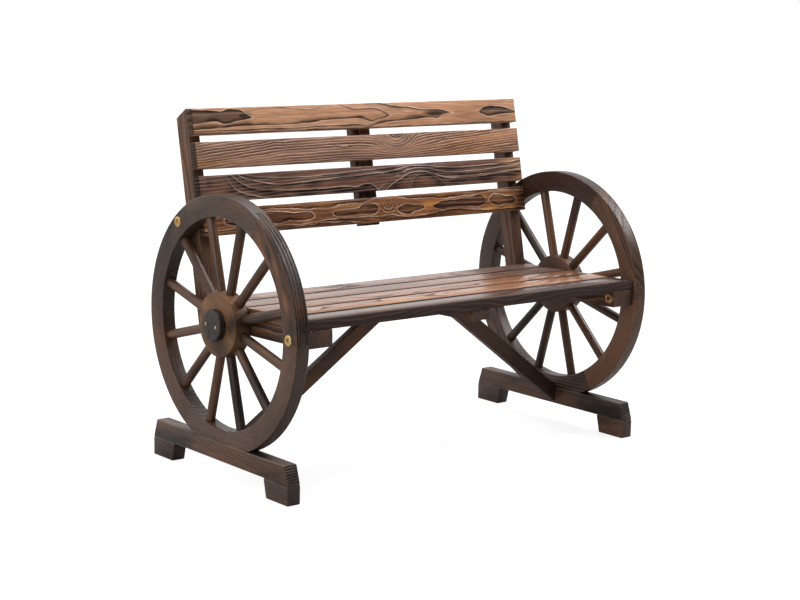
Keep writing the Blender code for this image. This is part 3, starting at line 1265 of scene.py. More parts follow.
POST_WOOD = replace(FRAME_WOOD, body=(0.128, 0.062, 0.036), scorch=0.4)
COPPER = Metal(bright=(0.66, 0.33, 0.17), dull=(0.22, 0.10, 0.05), roughness=0.25)
BRASS = Metal(bright=(0.78, 0.54, 0.24), dull=(0.36, 0.22, 0.09), roughness=0.22)


# Figures of the back slats, drawn in centimetres from the middle of the face
FLAME = Figure(
    course=((-48, -0.6), (0, 0.4), (48, -0.4)),
    spacing=0.016,
    wander=0.006,
    seed=71,
    plain=0.16,
    streaks=(
        Streak(
            above=((-48, 2.6), (-44, 2.4), (-40.5, 2.1), (-38.5, 2.6), (-36, 2.4), (-34, 1.6), (-32.2, 0.4)),
            below=((-48, -0.6), (-42, -0.1), (-39.5, -0.7), (-36, -0.1), (-34, 0.1), (-32.2, 0.35)),
            reach=0.007,
            core=0.76,
            rim=0.8,
        ),
        Streak(
            above=((-7, 2.9), (-4, 1.9), (-1, 1.7), (2, 1.75), (4, 1.5), (5.5, 0.9), (7.3, 0)),
            below=((-48, -1.8), (-40, -1.5), (-30, -1.3), (-22, -1.4), (-17, -1.2), (-12, -0.7), (-6, -0.5),
                   (-1.5, -0.65), (0.2, -1.1), (1.6, -1.5), (3.5, -1.1), (5.5, -0.8), (7.3, -0.1)),
            reach=0.0046,
        ),
        Streak(
            above=((4, 3.0), (8, 2.3), (13, 1.7), (18, 1.1), (23.5, 0.85), (25, 0.4), (26.7, 0.02)),
            below=((1, -2.8), (3, -2.2), (6, -1.75), (10, -1.5), (17, -1.2), (20, -1.1), (22, -1.3),
                   (23.5, -0.5), (26.7, 0)),
            reach=0.0068,
            rim=0.8,
        ),
        Streak(
            above=((35.5, -0.1), (37.2, 0.9), (39.5, 1.3), (42.9, 1.05), (45.5, 0.55), (48, -0.15)),
            below=((35.5, -0.12), (37.2, -0.75), (38.8, -1.15), (41, -1.05), (43.3, -0.85), (48, -0.65)),
            reach=0.0065,
            core=0.69,
            rim=0.8,
        ),
        Streak(
            above=((-48, -2.0), (-40, -2.1), (-32, -2.0), (-22, -2.15), (-12, -1.95), (-6, -1.9), (-1, -2.1),
                   (0.6, -2.8), (3, -4)),
            reach=0.0028,
            core=0.12,
        ),
        Streak(above=((-48, -2.55), (-20, -2.6), (10, -2.7), (48, -2.55)), reach=0.005, core=0.3, rim=0.2),
        Streak(above=((-26, 3.1), (-22, 2.45), (-19, 2.1), (-16, 1.95), (-14, 2.15), (-12, 2.9)),
               reach=0.0020),
    ),
    blots=(
        Swell(0.214, 0.000, 0.038, 0.0085, 0.94, flat=True),
        Swell(-0.345, 0.010, 0.020, 0.010, 0.97, flat=True),
        Swell(0.380, -0.004, 0.120, 0.040, 0.25, flat=True),
    ),
    tints=(Swell(0.400, 0.000, 0.170, 9, -0.50),),
)
EYE = Figure(
    course=((-48, -1.5), (-40, -0.8), (-32, -0.1), (-24, 0.4), (-16, 0.6), (-8, 0.8), (0, 0.6), (8, 0.1),
            (16, 0.4), (24, 1.1), (32, 1.8), (40, 2.4), (48, 2.8)),
    spacing=0.0062,
    wander=0.004,
    reach=0.16,
    girth=0.02,
    ripple=0.22,
    seed=72,
    swells=(
        Swell(0.087, 0.028, 0.042, 0.032, 6.0),
        Swell(-0.073, 0.003, 0.012, 0.003, 0.8, core=True),
        Swell(-0.270, 0.019, 0.020, 0.008, -0.7),
    ),
    streaks=(
        Streak(below=((1.5, 3.6), (4.2, 1.6), (5.2, 0.7), (6.4, 0.1), (8.7, -0.3), (11, 0.1), (12.6, 0.8),
                      (14, 1.7),
                      (17, 3.2)), reach=0.0026, rim=0.7),
        Streak(below=((3.6, 3.6), (5.2, 1.8), (6.2, 1.0), (7.3, 0.5), (8.7, 0.3), (10.1, 0.5),
                      (11.4, 1.1), (12.6, 2.0),
                      (14.6, 3.6)), reach=0.0026, rim=0.7),
        Streak(below=((4.8, 3.6), (6, 2.0), (6.9, 1.4), (8.7, 0.9), (10.4, 1.4), (11.4, 2.1), (13, 3.6)),
               reach=0.0026, rim=0.7),
        Streak(below=((5.8, 3.6), (6.8, 2.4), (8.7, 1.7), (10.2, 2.3), (11.4, 3.6)),
               reach=0.006, core=0.5, rim=0.5),
    ),
    tints=(
        Swell(0.280, -0.014, 0.090, 0.020, 0.8),
        Swell(-0.460, -0.022, 0.060, 0.014, 0.9),
        Swell(0.380, 0.000, 0.150, 0.050, 0.6),
    ),
)
ARCH = Figure(
    course=((-48, -1.0), (-20, 0), (15, 0.8), (48, 0.4)),
    spacing=0.008,
    wander=0.006,
    seed=73,
    plain=0.28,
    streaks=(
        Streak(above=((-36, 2.6), (-32, 1.9), (-28, 1.6), (-24, 1.35), (-20, 1.3), (-14, 1.45), (-6, 1.75),
                      (2, 2.1), (10, 2.5), (20, 2.9)), reach=0.0050, rim=0.9),
        Streak(above=((-38, 2.8), (-35, 1.4), (-32, 0.7), (-29, 0.2), (-26, -0.05), (-22, 0), (-16, 0.35),
                      (-8, 0.75), (0, 1.05), (4, 1.15), (7, 1.5), (10, 2.0), (13, 2.3), (16, 2.25), (19, 2.0),
                      (22, 1.6), (28, 1.35), (38, 1.5), (48, 2.2)), reach=0.0065, rim=0.95),
        Streak(above=((-39.5, 2.6), (-37, 0.7), (-35, -0.2), (-32, -0.9), (-29, -1.2), (-24, -1.5),
                      (-16, -1.65),
                      (-9, -1.5), (-5, -1.75), (-3.5, -1.5), (-2, -1.25), (-0.5, -1.4), (0.5, -1.9),
                      (2, -3.2)),
               reach=0.0090, core=0.2, rim=0.95),
        Streak(above=((-41, 2.4), (-39.3, 0), (-37.5, -1.2), (-35, -2.0), (-32, -2.6), (-29, -3.2)),
               reach=0.008, rim=0.95),
        Streak(above=((6, -0.6), (9, 0.8), (11.5, 1.5), (14, 1.7), (17, 1.5), (20, 0.9), (23, 0.4), (30, 0.2),
                      (38, 0.5), (48, 1.2)), below=((4, -1.2), (7, 0.2), (9, 0.4), (12, 1.0), (14.5, 1.1),
                      (18, 0.6), (22, -0.4), (28, -0.7), (38, -0.4), (48, 0.3)), reach=0.0035, rim=0.9),
        Streak(above=((3.6, -3.2), (5.5, -1.9), (7, -1.2), (9, -0.4), (10.5, 0.3), (12, 0.75), (14, 0.95),
                      (16, 0.85), (18, 0.4), (20, -0.2), (22, -0.8), (25, -1.2), (32, -1.25), (40, -0.8),
                      (48, -0.2)),
               reach=0.0095, rim=0.9),
        Streak(above=((11.6, -3.2), (12.3, -1.6), (13, -0.6), (14, 0), (15.5, 0.25), (17, 0.15), (18.5, -0.3),
                      (20, -1.1), (21.5, -2.0), (23, -3.2)), reach=0.0060, core=0.40, rim=0.3),
        Streak(above=((9.6, -3.2), (10.4, -1.6), (11.3, -0.4), (12.6, 0.35), (15, 0.62), (17.2, 0.5),
                      (18.8, 0), (20.4, -0.8)), reach=0.0022, depth=0.75, rim=0.12),
    ),
    blots=(
        Swell(-0.070, -0.026, 0.070, 0.008, 0.95, flat=True),
        Swell(-0.395, -0.010, 0.018, 0.016, 0.80),
        Swell(-0.455, 0.012, 0.012, 0.014, 0.70),
        Swell(0.064, -0.022, 0.024, 0.010, 0.93),
        Swell(0.205, -0.022, 0.022, 0.010, 0.85),
        Swell(-0.060, 0.008, 0.100, 0.005, 0.7),
    ),
    tints=(
        Swell(0.485, 0.000, 0.040, 0.040, 0.9),
        Swell(0.440, 0.022, 0.030, 0.006, 0.9),
        Swell(-0.440, -0.014, 0.030, 0.010, 0.3),
        Swell(0.165, -0.014, 0.022, 0.012, 0.45),
        Swell(-0.230, -0.010, 0.100, 0.018, 0.26),
    ),
)
ISLANDS = Figure(
    course=((-48, -0.4), (0, 0.2), (48, -0.2)),
    spacing=0.011,
    wander=0.006,
    seed=74,
    plain=0.22,
    ragged=0.0023,
    streaks=(
        Streak(below=((0.9, 4), (1.6, 0.8), (2.4, -0.3), (4, -0.75), (5.6, -0.3), (6.4, 0.8), (7.2, 4)),
               reach=0.0024, rim=0.95),
        Streak(below=((1.6, 4), (2.5, 1), (3.2, 0.2), (4, 0), (4.9, 0.25), (5.5, 1.2), (6.3, 4)),
               reach=0.0024, rim=0.95),
        Streak(below=((2.5, 4), (3.3, 1.4), (4, 0.6), (4.7, 1.4), (5.4, 4)), reach=0.0024, rim=0.9),
        Loop(
            swells=(Swell(-0.330, 0.000, 0.095, 0.0145, 1), Swell(-0.218, -0.002, 0.038, 0.0100, 1)),
            reach=0.0040,
            core=0.45,
            rim=0.95,
            width=0.0021,
        ),
        Loop(
            swells=(Swell(-0.078, -0.002, 0.046, 0.0085, 1), Swell(-0.019, 0.003, 0.029, 0.0135, 1)),
            reach=0.0050,
            core=0.56,
            rim=0.75,
            width=0.0021,
        ),
        Loop(
            swells=(Swell(0.096, -0.004, 0.029, 0.0120, 1), Swell(0.126, -0.003, 0.024, 0.0070, 1)),
            reach=0.0045,
            core=0.56,
            rim=0.75,
            width=0.0021,
        ),
        Streak(
            above=((17.5, 0), (19, 0.3), (21, 0.9), (23, 1.1), (26, 0.9), (29, 1.2), (33, 1.5),
                   (34.3, 1.0), (35, 0)),
            below=((17.5, -0.1), (19, -0.7), (21, -1.0), (26, -0.8), (29, -1.1), (32, -1.3), (34, -0.9),
                   (35, -0.1)),
            reach=0.008,
            core=0.66,
            rim=0.5,
        ),
        Loop(
            swells=(Swell(0.390, 0.001, 0.029, 0.0140, 1), Swell(0.424, -0.002, 0.026, 0.0090, 1)),
            reach=0.0040,
            core=0.45,
            rim=0.95,
            width=0.0021,
        ),
        Streak(
            below=((-48, 2.0), (-31, 2.2), (-27, 2.0), (-22, 1.7), (-18, 1.4), (-14, 1.35), (-9, 2.0),
                   (-5, 1.95),
                   (-2, 2.4), (0, 2.9), (5, 3.2), (8, 2.4), (12, 2.0), (16, 2.0), (20, 1.6), (26, 1.8),
                   (31, 2.0),
                   (34, 2.3), (38, 2.6), (44, 2.3), (48, 2.2)),
            reach=0.0035,
            core=0.25,
            rim=0.8,
            width=0.0019,
        ),
        Streak(
            above=((-48, -1.9), (-30, -1.9), (-22, -2.05), (-18, -1.8), (-14, -1.5), (-9, -1.55), (0, -1.7),
                   (4, -1.6), (8, -2.0), (12, -2.3), (16, -2.1), (20, -1.6), (23, -1.3), (26, -1.4),
                   (30, -1.8),
                   (36, -2.1), (48, -2.2)),
            reach=0.0040,
            core=0.38,
            rim=0.8,
            width=0.0019,
        ),
        Streak(above=((-30, -3.2), (-24, -2.5), (-16, -2.1), (-8, -2.3), (-2, -3.2)), reach=0.003, rim=0.8),
    ),
    blots=(Swell(0.475, 0.000, 0.018, 0.030, 0.85), Swell(0.200, -0.004, 0.030, 0.006, 0.9)),
    tints=(
        Swell(0.290, -0.023, 0.030, 0.0045, 1.0),
        Swell(0.355, -0.020, 0.026, 0.0060, 1.0),
        Swell(0.425, -0.020, 0.022, 0.0060, 0.8),
        Swell(0.165, 0.000, 0.028, 0.0080, 0.5),
        Swell(0.000, -0.024, 0.022, 0.0050, 0.6),
        Swell(-0.450, -0.022, 0.050, 0.0060, 0.9),
    ),
)


@dataclass(frozen=True)
class Felloe:
    """Looks of one rim segment.

    Attributes:
        cut: how it was sawn.
        spacing: distance between its year rings.
        wander: how far they stray.
        strength: how strong they are.
        body: colour of its plain wood.
        scorch: how much is clouded by soot.
        toast: how much shows the glow.
        groove: depth of the weathered grooves in its tread.
        blots: soot spots, along the felloe and outwards from its middle line.
        tints: toasted spots, placed alike.
    """

    cut: Cut
    spacing: float
    wander: float
    strength: float
    body: Colour
    scorch: float
    toast: float
    groove: float = 0.0
    blots: tuple[Swell, ...] = ()
    tints: tuple[Swell, ...] = ()


LEFT_FELLOES = (
    Felloe(
        Cut.FLAT,
        0.0064,
        0.010,
        0.60,
        (0.105, 0.047, 0.025),
        0.95,
        0.9,
        groove=0.0021,
        blots=(
            Swell(-0.100, -0.008, 0.026, 0.016, 0.85),
            Swell(0.062, -0.012, 0.020, 0.009, 0.90),
            Swell(0.010, -0.020, 0.014, 0.006, 0.80),
            Swell(-0.010, 0.024, 0.080, 0.009, 0.70),
        ),
        tints=(
            Swell(0.030, -0.002, 0.040, 0.009, 0.90),
            Swell(0.098, -0.028, 0.020, 0.012, 0.90),
            Swell(-0.050, -0.006, 0.032, 0.009, 0.80),
        ),
    ),
    Felloe(Cut.QUARTER, 0.0038, 0.003, 0.30, (0.084, 0.050, 0.035), 0.4, 0.2, groove=0.0008),
    Felloe(Cut.QUARTER, 0.0036, 0.004, 0.60, (0.070, 0.046, 0.036), 0.6, 0.1),
    Felloe(Cut.RIFT, 0.0042, 0.006, 0.45, (0.100, 0.052, 0.032), 0.4, 0.4),
    Felloe(Cut.QUARTER, 0.0052, 0.002, 1.00, (0.108, 0.060, 0.040), 0.2, 0.3),
    Felloe(Cut.RIFT, 0.0042, 0.004, 0.35, (0.102, 0.053, 0.031), 0.4, 0.4),
)
RIGHT_FELLOES = (
    Felloe(Cut.RIFT, 0.0085, 0.004, 1.00, (0.140, 0.064, 0.032), 0.4, 0.5),
    Felloe(Cut.QUARTER, 0.0040, 0.003, 0.30, (0.038, 0.018, 0.011), 0.5, 0.1),
    Felloe(Cut.RIFT, 0.0044, 0.004, 0.45, (0.078, 0.046, 0.033), 0.5, 0.2),
    Felloe(Cut.FLAT, 0.0056, 0.008, 0.60, (0.092, 0.043, 0.025), 0.6, 0.4),
    Felloe(Cut.QUARTER, 0.0080, 0.002, 1.00, (0.092, 0.047, 0.027), 0.3, 0.3),
    Felloe(Cut.RIFT, 0.0060, 0.004, 0.50, (0.230, 0.096, 0.042), 0.2, 0.5),
)


@dataclass
class Wheel:
    """Felloes, spokes, hub and cap at one end of the bench.

    Attributes:
        side: which end.
        felloes: looks of each felloe, from the front upwards.
        hub_wood: finish of the hub.
        first_shade: which of the spokes' shades the first spoke has.
        spokes: number of spokes.
        standing: number of the felloe that stands on the foot.
        tongue_length: length of a felloe's tongue.
        tongue_thickness: thickness of the tongue.
        mortise_depth: how deep a spoke goes into the rim.
        arris: radius of the rim's edges.
        hub_round: radius of the hub's edges.
        cap_round: radius of the cap's outer edge.
        arc_step: angle between the rim's facets.
        grooves: number of grooves round a weathered tread.
        groove_half: half width of a groove.
        groove_stray: how far a groove strays.
        groove_waves: waves in it to the metre, along X, Y and Z.
        groove_relief: how much of the brushed relief a grooved felloe keeps.
        sway: largest turn of the grain in a felloe's face.
        dive: turn of the grain through a felloe.
        spoke_stray: how uneven a spoke is.
        spoke_shades: how light each spoke is, from the front upwards.
        hub_turn: turn of the hub's grain about the axle.
        cap_turn: turn of the cap's grain about the axle.
    """

    side: Side
    felloes: tuple[Felloe, ...]
    hub_wood: Wood
    first_shade: int = 0
    spokes: int = 12
    standing: int = 5
    tongue_length: float = 0.022
    tongue_thickness: float = 0.011
    mortise_depth: float = 0.024
    arris: float = 0.0022
    hub_round: float = 0.0030
    cap_round: float = 0.0040
    arc_step: float = math.radians(1.25)
    grooves: int = 4
    groove_half: float = 0.0018
    groove_stray: float = 0.0010
    groove_waves: tuple[float, float, float] = (60, 16, 16)
    groove_relief: float = 0.3
    sway: float = 0.05
    dive: float = 0.02
    spoke_stray: float = 0.0003
    spoke_shades: tuple[float, ...] = (0.8, 0.6, 0.7, 1.1, 0.9, 1.2, 1.2, 1.1, 1.3, 0.25, 1.0, 1.2)
    hub_turn: float = math.radians(35)
    cap_turn: float = math.radians(80)

    def __post_init__(self) -> None:
        """Read the wheel's sizes off its solids."""
        prefix = self.side.prefix
        hub_low, hub_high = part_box(f"{prefix}_hub")
        low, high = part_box(f"{prefix}_felloe_1")
        self.axle = (hub_low + hub_high) / 2
        self.axle.x = (low.x + high.x) / 2
        self.home = Matrix.Translation(self.axle)
        self.half_thickness = (high.x - low.x) / 2
        self.hub_faces = (hub_low.x - self.axle.x, hub_high.x - self.axle.x)
        self.hub_radius = (hub_high.z - hub_low.z) / 2
        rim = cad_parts[f"{prefix}_felloe_1"].data.vertices
        self.radius = max((vertex.co - self.axle).yz.length for vertex in rim)
        faces = [vertex for vertex in rim if self._on_face(vertex)]
        self.inner = min((vertex.co - self.axle).yz.length for vertex in faces)
        self.flat = self.axle.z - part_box(f"{prefix}_felloe_{self.standing}")[0].z
        spoke_low, spoke_high = limits(f"{prefix}_spoke_01", self.home @ self._spoke_lay(0.5))
        self.spoke_low, self.spoke_high = spoke_low.x, spoke_high.x
        self.spoke_radius = spoke_high.z

    def _on_face(self, vertex: bpy.types.MeshVertex) -> bool:
        """Whether a vertex lies on one of the rim's two flat faces."""
        return abs(abs(vertex.co.x - self.axle.x) - self.half_thickness) < WELD * 100

    def _spoke_lay(self, steps: float) -> Matrix:
        """Axes that point out along a spoke, some steps up from the front, with Z along the axle."""
        return turn(steps * math.tau / self.spokes) @ Matrix.Rotation(-math.pi / 2, 4, "Z")

    def build(self) -> None:
        """Model the wheel and show its pieces."""
        self._build_rim()
        self._build_spokes()
        self._build_hub()
        self._build_cap()

    def _sector(
        self,
        across: tuple[float, float],
        radii: tuple[float, float],
        swing: tuple[float, float],
        arris: float = 0.0,
        groove: float = 0.0,
    ) -> bmesh.types.BMesh:
        """Part of a ring about the axle.

        Args:
            across: where it starts and ends along the axle.
            radii: its inner and outer radius.
            swing: its first and last angle.
            arris: radius of its four long edges.
            groove: depth of the grooves round its outer face.

        Returns:
            The closed shape.
        """
        shape = bmesh.new()
        low, high = across
        inner, outer = radii
        profile = [(low, inner), (high, inner), (high, outer)]
        for number in range(self.grooves if groove else 0):
            middle = high + (low - high) * (number + 0.5) / self.grooves
            profile.append((middle + self.groove_half, outer))
            profile.append((middle, outer - groove))
            profile.append((middle - self.groove_half, outer))
        profile.append((low, outer))
        points = [shape.verts.new(turn(swing[0]) @ Vector((x, -radius, 0))) for x, radius in profile]
        shape.faces.new(points)
        if arris:
            round_off(shape, points[:3] + points[-1:], arris, "VERTICES")
        bmesh.ops.spin(
            shape,
            geom=whole(shape),
            cent=(0, 0, 0),
            axis=(-1, 0, 0),
            angle=swing[1] - swing[0],
            steps=max(1, math.ceil((swing[1] - swing[0]) / self.arc_step)),
        )
        for vertex in shape.verts if groove else ():
            on_tread = vertex.co.yz.length > outer - groove * 1.1
            if on_tread and low + 2 * arris < vertex.co.x < high - 2 * arris:
                spot = Vector(place * waves for place, waves in zip(vertex.co, self.groove_waves))
                vertex.co.x += self.groove_stray * noise.noise(spot)
        bmesh.ops.recalc_face_normals(shape, faces=shape.faces[:])
        return shape

    def _felloe(self, flattened: bool, groove: float) -> bpy.types.Mesh:
        """Felloe round angle zero: a slot at its start, a tongue at its end and two mortises.

        Args:
            flattened: whether it has the flat that stands on the foot.
            groove: depth of the grooves in its tread.

        Returns:
            The felloe, with the axle's middle at the origin.
        """
        middle = (self.inner + self.radius) / 2
        tongue = self.tongue_length / middle
        end = math.pi / len(self.felloes) - JOINT_GAP / middle / 2
        face, ply = self.half_thickness, self.tongue_thickness / 2
        radii = (self.inner, self.radius)
        shape = self._sector((-face, face), radii, (-end, end + tongue), self.arris, groove)
        if flattened:
            cut = bmesh.ops.bisect_plane(
                shape,
                geom=whole(shape),
                plane_co=(0, -self.flat, 0),
                plane_no=(0, -1, 0),
                clear_outer=True,
            )
            loop = [item for item in cut["geom_cut"] if isinstance(item, bmesh.types.BMEdge)]
            bmesh.ops.holes_fill(shape, edges=loop)
        mesh = mesh_from("felloe", shape)
        wide = (self.inner - BEYOND, self.radius + BEYOND)
        cuts = [
            ((ply, face + BEYOND), (end, end + tongue + BEYOND)),
            ((-face - BEYOND, -ply), (end, end + tongue + BEYOND)),
            ((-ply - JOINT_GAP, ply + JOINT_GAP), (-end - BEYOND, tongue - end)),
        ]
        for across, swing in cuts:
            mesh = carved(mesh, mesh_from("joint", self._sector(across, wide, swing)))
        steps = (-0.5, 0.5)
        return carved(mesh, self._mortises(steps, self.inner - BEYOND, self.inner + self.mortise_depth))

    def _mortises(self, steps: Sequence[float], low: float, high: float) -> bpy.types.Mesh:
        """Cutter for the ends of some spokes.

        Args:
            steps: where the spokes stand, in steps up from the front.
            low: where the mortises start, from the axle.
            high: where they end.

        Returns:
            The cutter, with the axle's middle at the origin.
        """
        shape = bmesh.new()
        for step in steps:
            add_rod(shape, self.spoke_radius + JOINT_GAP, low, high, place=self._spoke_lay(step))
        return mesh_from("mortises", shape)

    def _turned(self, low: float, high: float, radius: float, rounded: float, both: bool) -> bpy.types.Mesh:
        """Disc about the axle with rounded edges.

        Args:
            low: where it starts along the axle.
            high: where it ends.
            radius: its radius.
            rounded: radius of its edge.
            both: whether both edges are rounded, or only the one at the end.

        Returns:
            The disc, with the axle's middle at the origin.
        """
        shape = bmesh.new()
        corners = ((low, 0), (low, radius), (high, radius), (high, 0))
        profile = [shape.verts.new((x, -distance, 0)) for x, distance in corners]
        edges = [shape.edges.new(pair) for pair in zip(profile, profile[1:])]
        bmesh.ops.spin(
            shape,
            geom=profile + edges,
            cent=(0, 0, 0),
            axis=(1, 0, 0),
            angle=math.tau,
            steps=FINE_SIDES,
            use_merge=True,
        )
        bmesh.ops.remove_doubles(shape, verts=shape.verts[:], dist=WELD)
        bmesh.ops.recalc_face_normals(shape, faces=shape.faces[:])
        rims = sharp_edges(shape)
        if not both:
            rims = [edge for edge in rims if all(abs(corner.co.x - high) < WELD for corner in edge.verts)]
        round_off(shape, rims, rounded)
        return mesh_from("disc", shape)

    def _build_rim(self) -> None:
        """Show the felloes."""
        middle = (self.inner + self.radius) / 2
        half = Vector((middle / 2, (self.radius - self.inner) / 2, self.half_thickness))
        for number, looks in enumerate(self.felloes):
            name = f"{self.side.prefix}_felloe_{number + 1}"
            place = self.home @ turn((number + 0.5) * math.tau / len(self.felloes))
            mesh = self._felloe(number + 1 == self.standing, looks.groove)
            mesh.transform(place)
            figure = Figure(
                cut=looks.cut,
                spacing=looks.spacing,
                slope=(self.sway * math.sin(3 * number + self.side.value), self.dive),
                wander=looks.wander,
                seed=number + 10.5 * self.side.value,
                plain=looks.strength,
                blots=looks.blots,
                tints=looks.tints,
            )
            wood = replace(
                RIM_WOOD,
                body=looks.body,
                scorch=looks.scorch,
                toast=looks.toast,
                relief=RIM_WOOD.relief * (self.groove_relief if looks.groove else 1.0),
            )
            lay = place @ GRAIN_ON_Z @ Matrix.Translation((0, middle, 0))
            show(name, mesh, wood.dress(name, lay, half, figure, middle), [name])

    def _build_spokes(self) -> None:
        """Show the spokes."""
        half = Vector(((self.spoke_high - self.spoke_low) / 2, self.spoke_radius, self.spoke_radius))
        middle = Matrix.Translation(((self.spoke_low + self.spoke_high) / 2, 0, 0))
        for number in range(self.spokes):
            name = f"{self.side.prefix}_spoke_{number + 1:02d}"
            seed = number * 1.7 + 30.5 * self.side.value
            place = self.home @ self._spoke_lay(number + 0.5) @ middle
            shape = bmesh.new()
            add_rod(shape, self.spoke_radius, -half.x, half.x)
            cut_across(shape, -half.x, half.x)
            weather(shape, self.spoke_stray, seed)
            mesh = mesh_from(name, shape)
            mesh.transform(place)
            figure = Figure(cut=Cut.HEART, spacing=0.0060, wander=0.006, reach=0.15, seed=seed, plain=0.5)
            shade = self.spoke_shades[(number + self.first_shade) % self.spokes]
            wood = replace(SPOKE_WOOD, body=tuple(Vector(SPOKE_WOOD.body) * shade))
            show(name, mesh, wood.dress(name, place, half * 2, figure), [name])

    def _build_hub(self) -> None:
        """Show the hub."""
        name, sign = f"{self.side.prefix}_hub", self.side.value
        steps = [number + 0.5 for number in range(self.spokes)]
        mortises = self._mortises(steps, self.spoke_low - JOINT_GAP, self.hub_radius * 1.5)
        hub = carved(self._turned(*self.hub_faces, self.hub_radius, self.hub_round, True), mortises)
        hub.transform(self.home)
        half = Vector((self.hub_radius, self.hub_radius, max(map(abs, self.hub_faces))))
        # Painted shade: one dark spot darkens the top of the right hub and the bottom of the left one, the
        # other paints the cap's shadow on the hub's front.
        painted_side_shade = Swell(0.032 * sign, 0.030 * sign, 0.055, 0.032, 0.72)
        shade = Swell(-0.042, 0.040, 0.022, 0.034, 0.90)
        figure = Figure(
            cut=Cut.FLAT, spacing=0.005, wander=0.014, seed=4.4 * sign, plain=0.4, blots=(painted_side_shade, shade)
        )
        lay = self.home @ Matrix.Rotation(self.hub_turn, 4, "X") @ GRAIN_ON_Y
        show(name, hub, self.hub_wood.dress(name, lay, half, figure), [name])

    def _build_cap(self) -> None:
        """Show the hub's cap."""
        name = f"{self.side.prefix}_hub_cap"
        low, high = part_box(name)
        near, far = sorted((low.x - self.axle.x, high.x - self.axle.x), key=abs)
        cap = self._turned(near, far, (high.z - low.z) / 2, self.cap_round, False)
        cap.transform(self.home)
        half = Vector((high.z - low.z, high.z - low.z, high.x - low.x)) / 2
        figure = Figure(cut=Cut.RIFT, spacing=0.0045, wander=0.004, seed=7.9 * self.side.value)
        lay = self.home @ Matrix.Rotation(self.cap_turn, 4, "X") @ GRAIN_ON_Y
        show(name, cap, CAP_WOOD.dress(name, lay, half, figure), [name])


@dataclass
class Foot:
    """Bar on two splayed blocks, below one wheel.

    Attributes:
        side: which end of the bench.
        strengths: how strong the rings are in the bar, front and rear block.
        front_wood: finish of the front block.
        block_height: height of the blocks.
        block_length: length of a block's sole.
        splay: how much further in a block reaches at its top.
        end_slope: how much shorter the bar is at its top, at each end.
        arris: radius of the edges.
    """

    side: Side
    strengths: tuple[float, float, float]
    front_wood: Wood = BLOCK_WOOD
    block_height: float = 0.042
    block_length: float = 0.078
    splay: float = 0.010
    end_slope: float = 0.0135
    arris: float = 0.0020

    def build(self) -> None:
        """Model the bar and both blocks and show them."""
        node = f"{self.side.prefix}_foot"
        low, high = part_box(node)
        sole, top = self.block_length, self.block_length + self.splay
        under, over = self.block_height - JOINT_GAP / 2, self.block_height + JOINT_GAP / 2
        start, stop = low.y + self.end_slope, high.y - self.end_slope
        bar = [(low.y, over), (high.y, over), (stop, high.z), (start, high.z)]
        front = [(low.y, 0), (low.y + sole, 0), (low.y + top, under), (low.y, under)]
        rear = [(high.y - sole, 0), (high.y, 0), (high.y, under), (high.y - top, under)]
        extent = (low.x, high.x)
        self._piece(node, bar, extent, self.strengths[0], FOOT_WOOD, [node])
        self._piece(f"{node}_block_front", front, extent, self.strengths[1], self.front_wood)
        self._piece(f"{node}_block_rear", rear, extent, self.strengths[2], BLOCK_WOOD)

    def _piece(
        self,
        name: str,
        outline: Sequence[tuple[float, float]],
        extent: tuple[float, float],
        strength: float,
        wood: Wood,
        nodes: Sequence[str] = (),
    ) -> None:
        """Show one sawn piece of the foot.

        Args:
            name: name of the piece.
            outline: its side view.
            extent: where it starts and ends on X.
            strength: how strong its rings are.
            wood: its finish.
            nodes: solids that it stands for, which only the bar does.
        """
        shape = bmesh.new()
        face = shape.faces.new([shape.verts.new((extent[0], y, z)) for y, z in outline])
        grown = bmesh.ops.extrude_face_region(shape, geom=[face])["geom"]
        moved = [item for item in grown if isinstance(item, bmesh.types.BMVert)]
        bmesh.ops.translate(shape, verts=moved, vec=(extent[1] - extent[0], 0, 0))
        bmesh.ops.recalc_face_normals(shape, faces=shape.faces[:])
        round_off(shape, shape.edges, self.arris)
        mesh = mesh_from(name, shape)
        ys, zs = zip(*outline)
        middle = Vector((sum(extent), min(ys) + max(ys), min(zs) + max(zs))) / 2
        half = Vector((max(ys) - min(ys), max(zs) - min(zs), extent[1] - extent[0])) / 2
        figure = Figure(
            cut=Cut.QUARTER,
            spacing=0.0058,
            wander=0.007,
            ripple=0.25,
            seed=len(name) + 3.3 * self.side.value + middle.y * 5,
            plain=strength,
        )
        if nodes:
            # The first dark spot is painted shade in the crease just in front of where the wheel stands on
            # the bar; the second darkens the bar towards its rear end.
            soot = (Swell(-0.150, half.y, 0.045, 0.008, 0.9), Swell(0.245, 0, 0.07, 0.05, 0.30))
            figure = replace(figure, blots=soot, tints=(Swell(-0.02, 0, 0.13, 0.05, 0.35),))
        place = Matrix.Translation(middle) @ GRAIN_ON_Y
        show(name, mesh, wood.dress(name, place, half, figure), nodes)


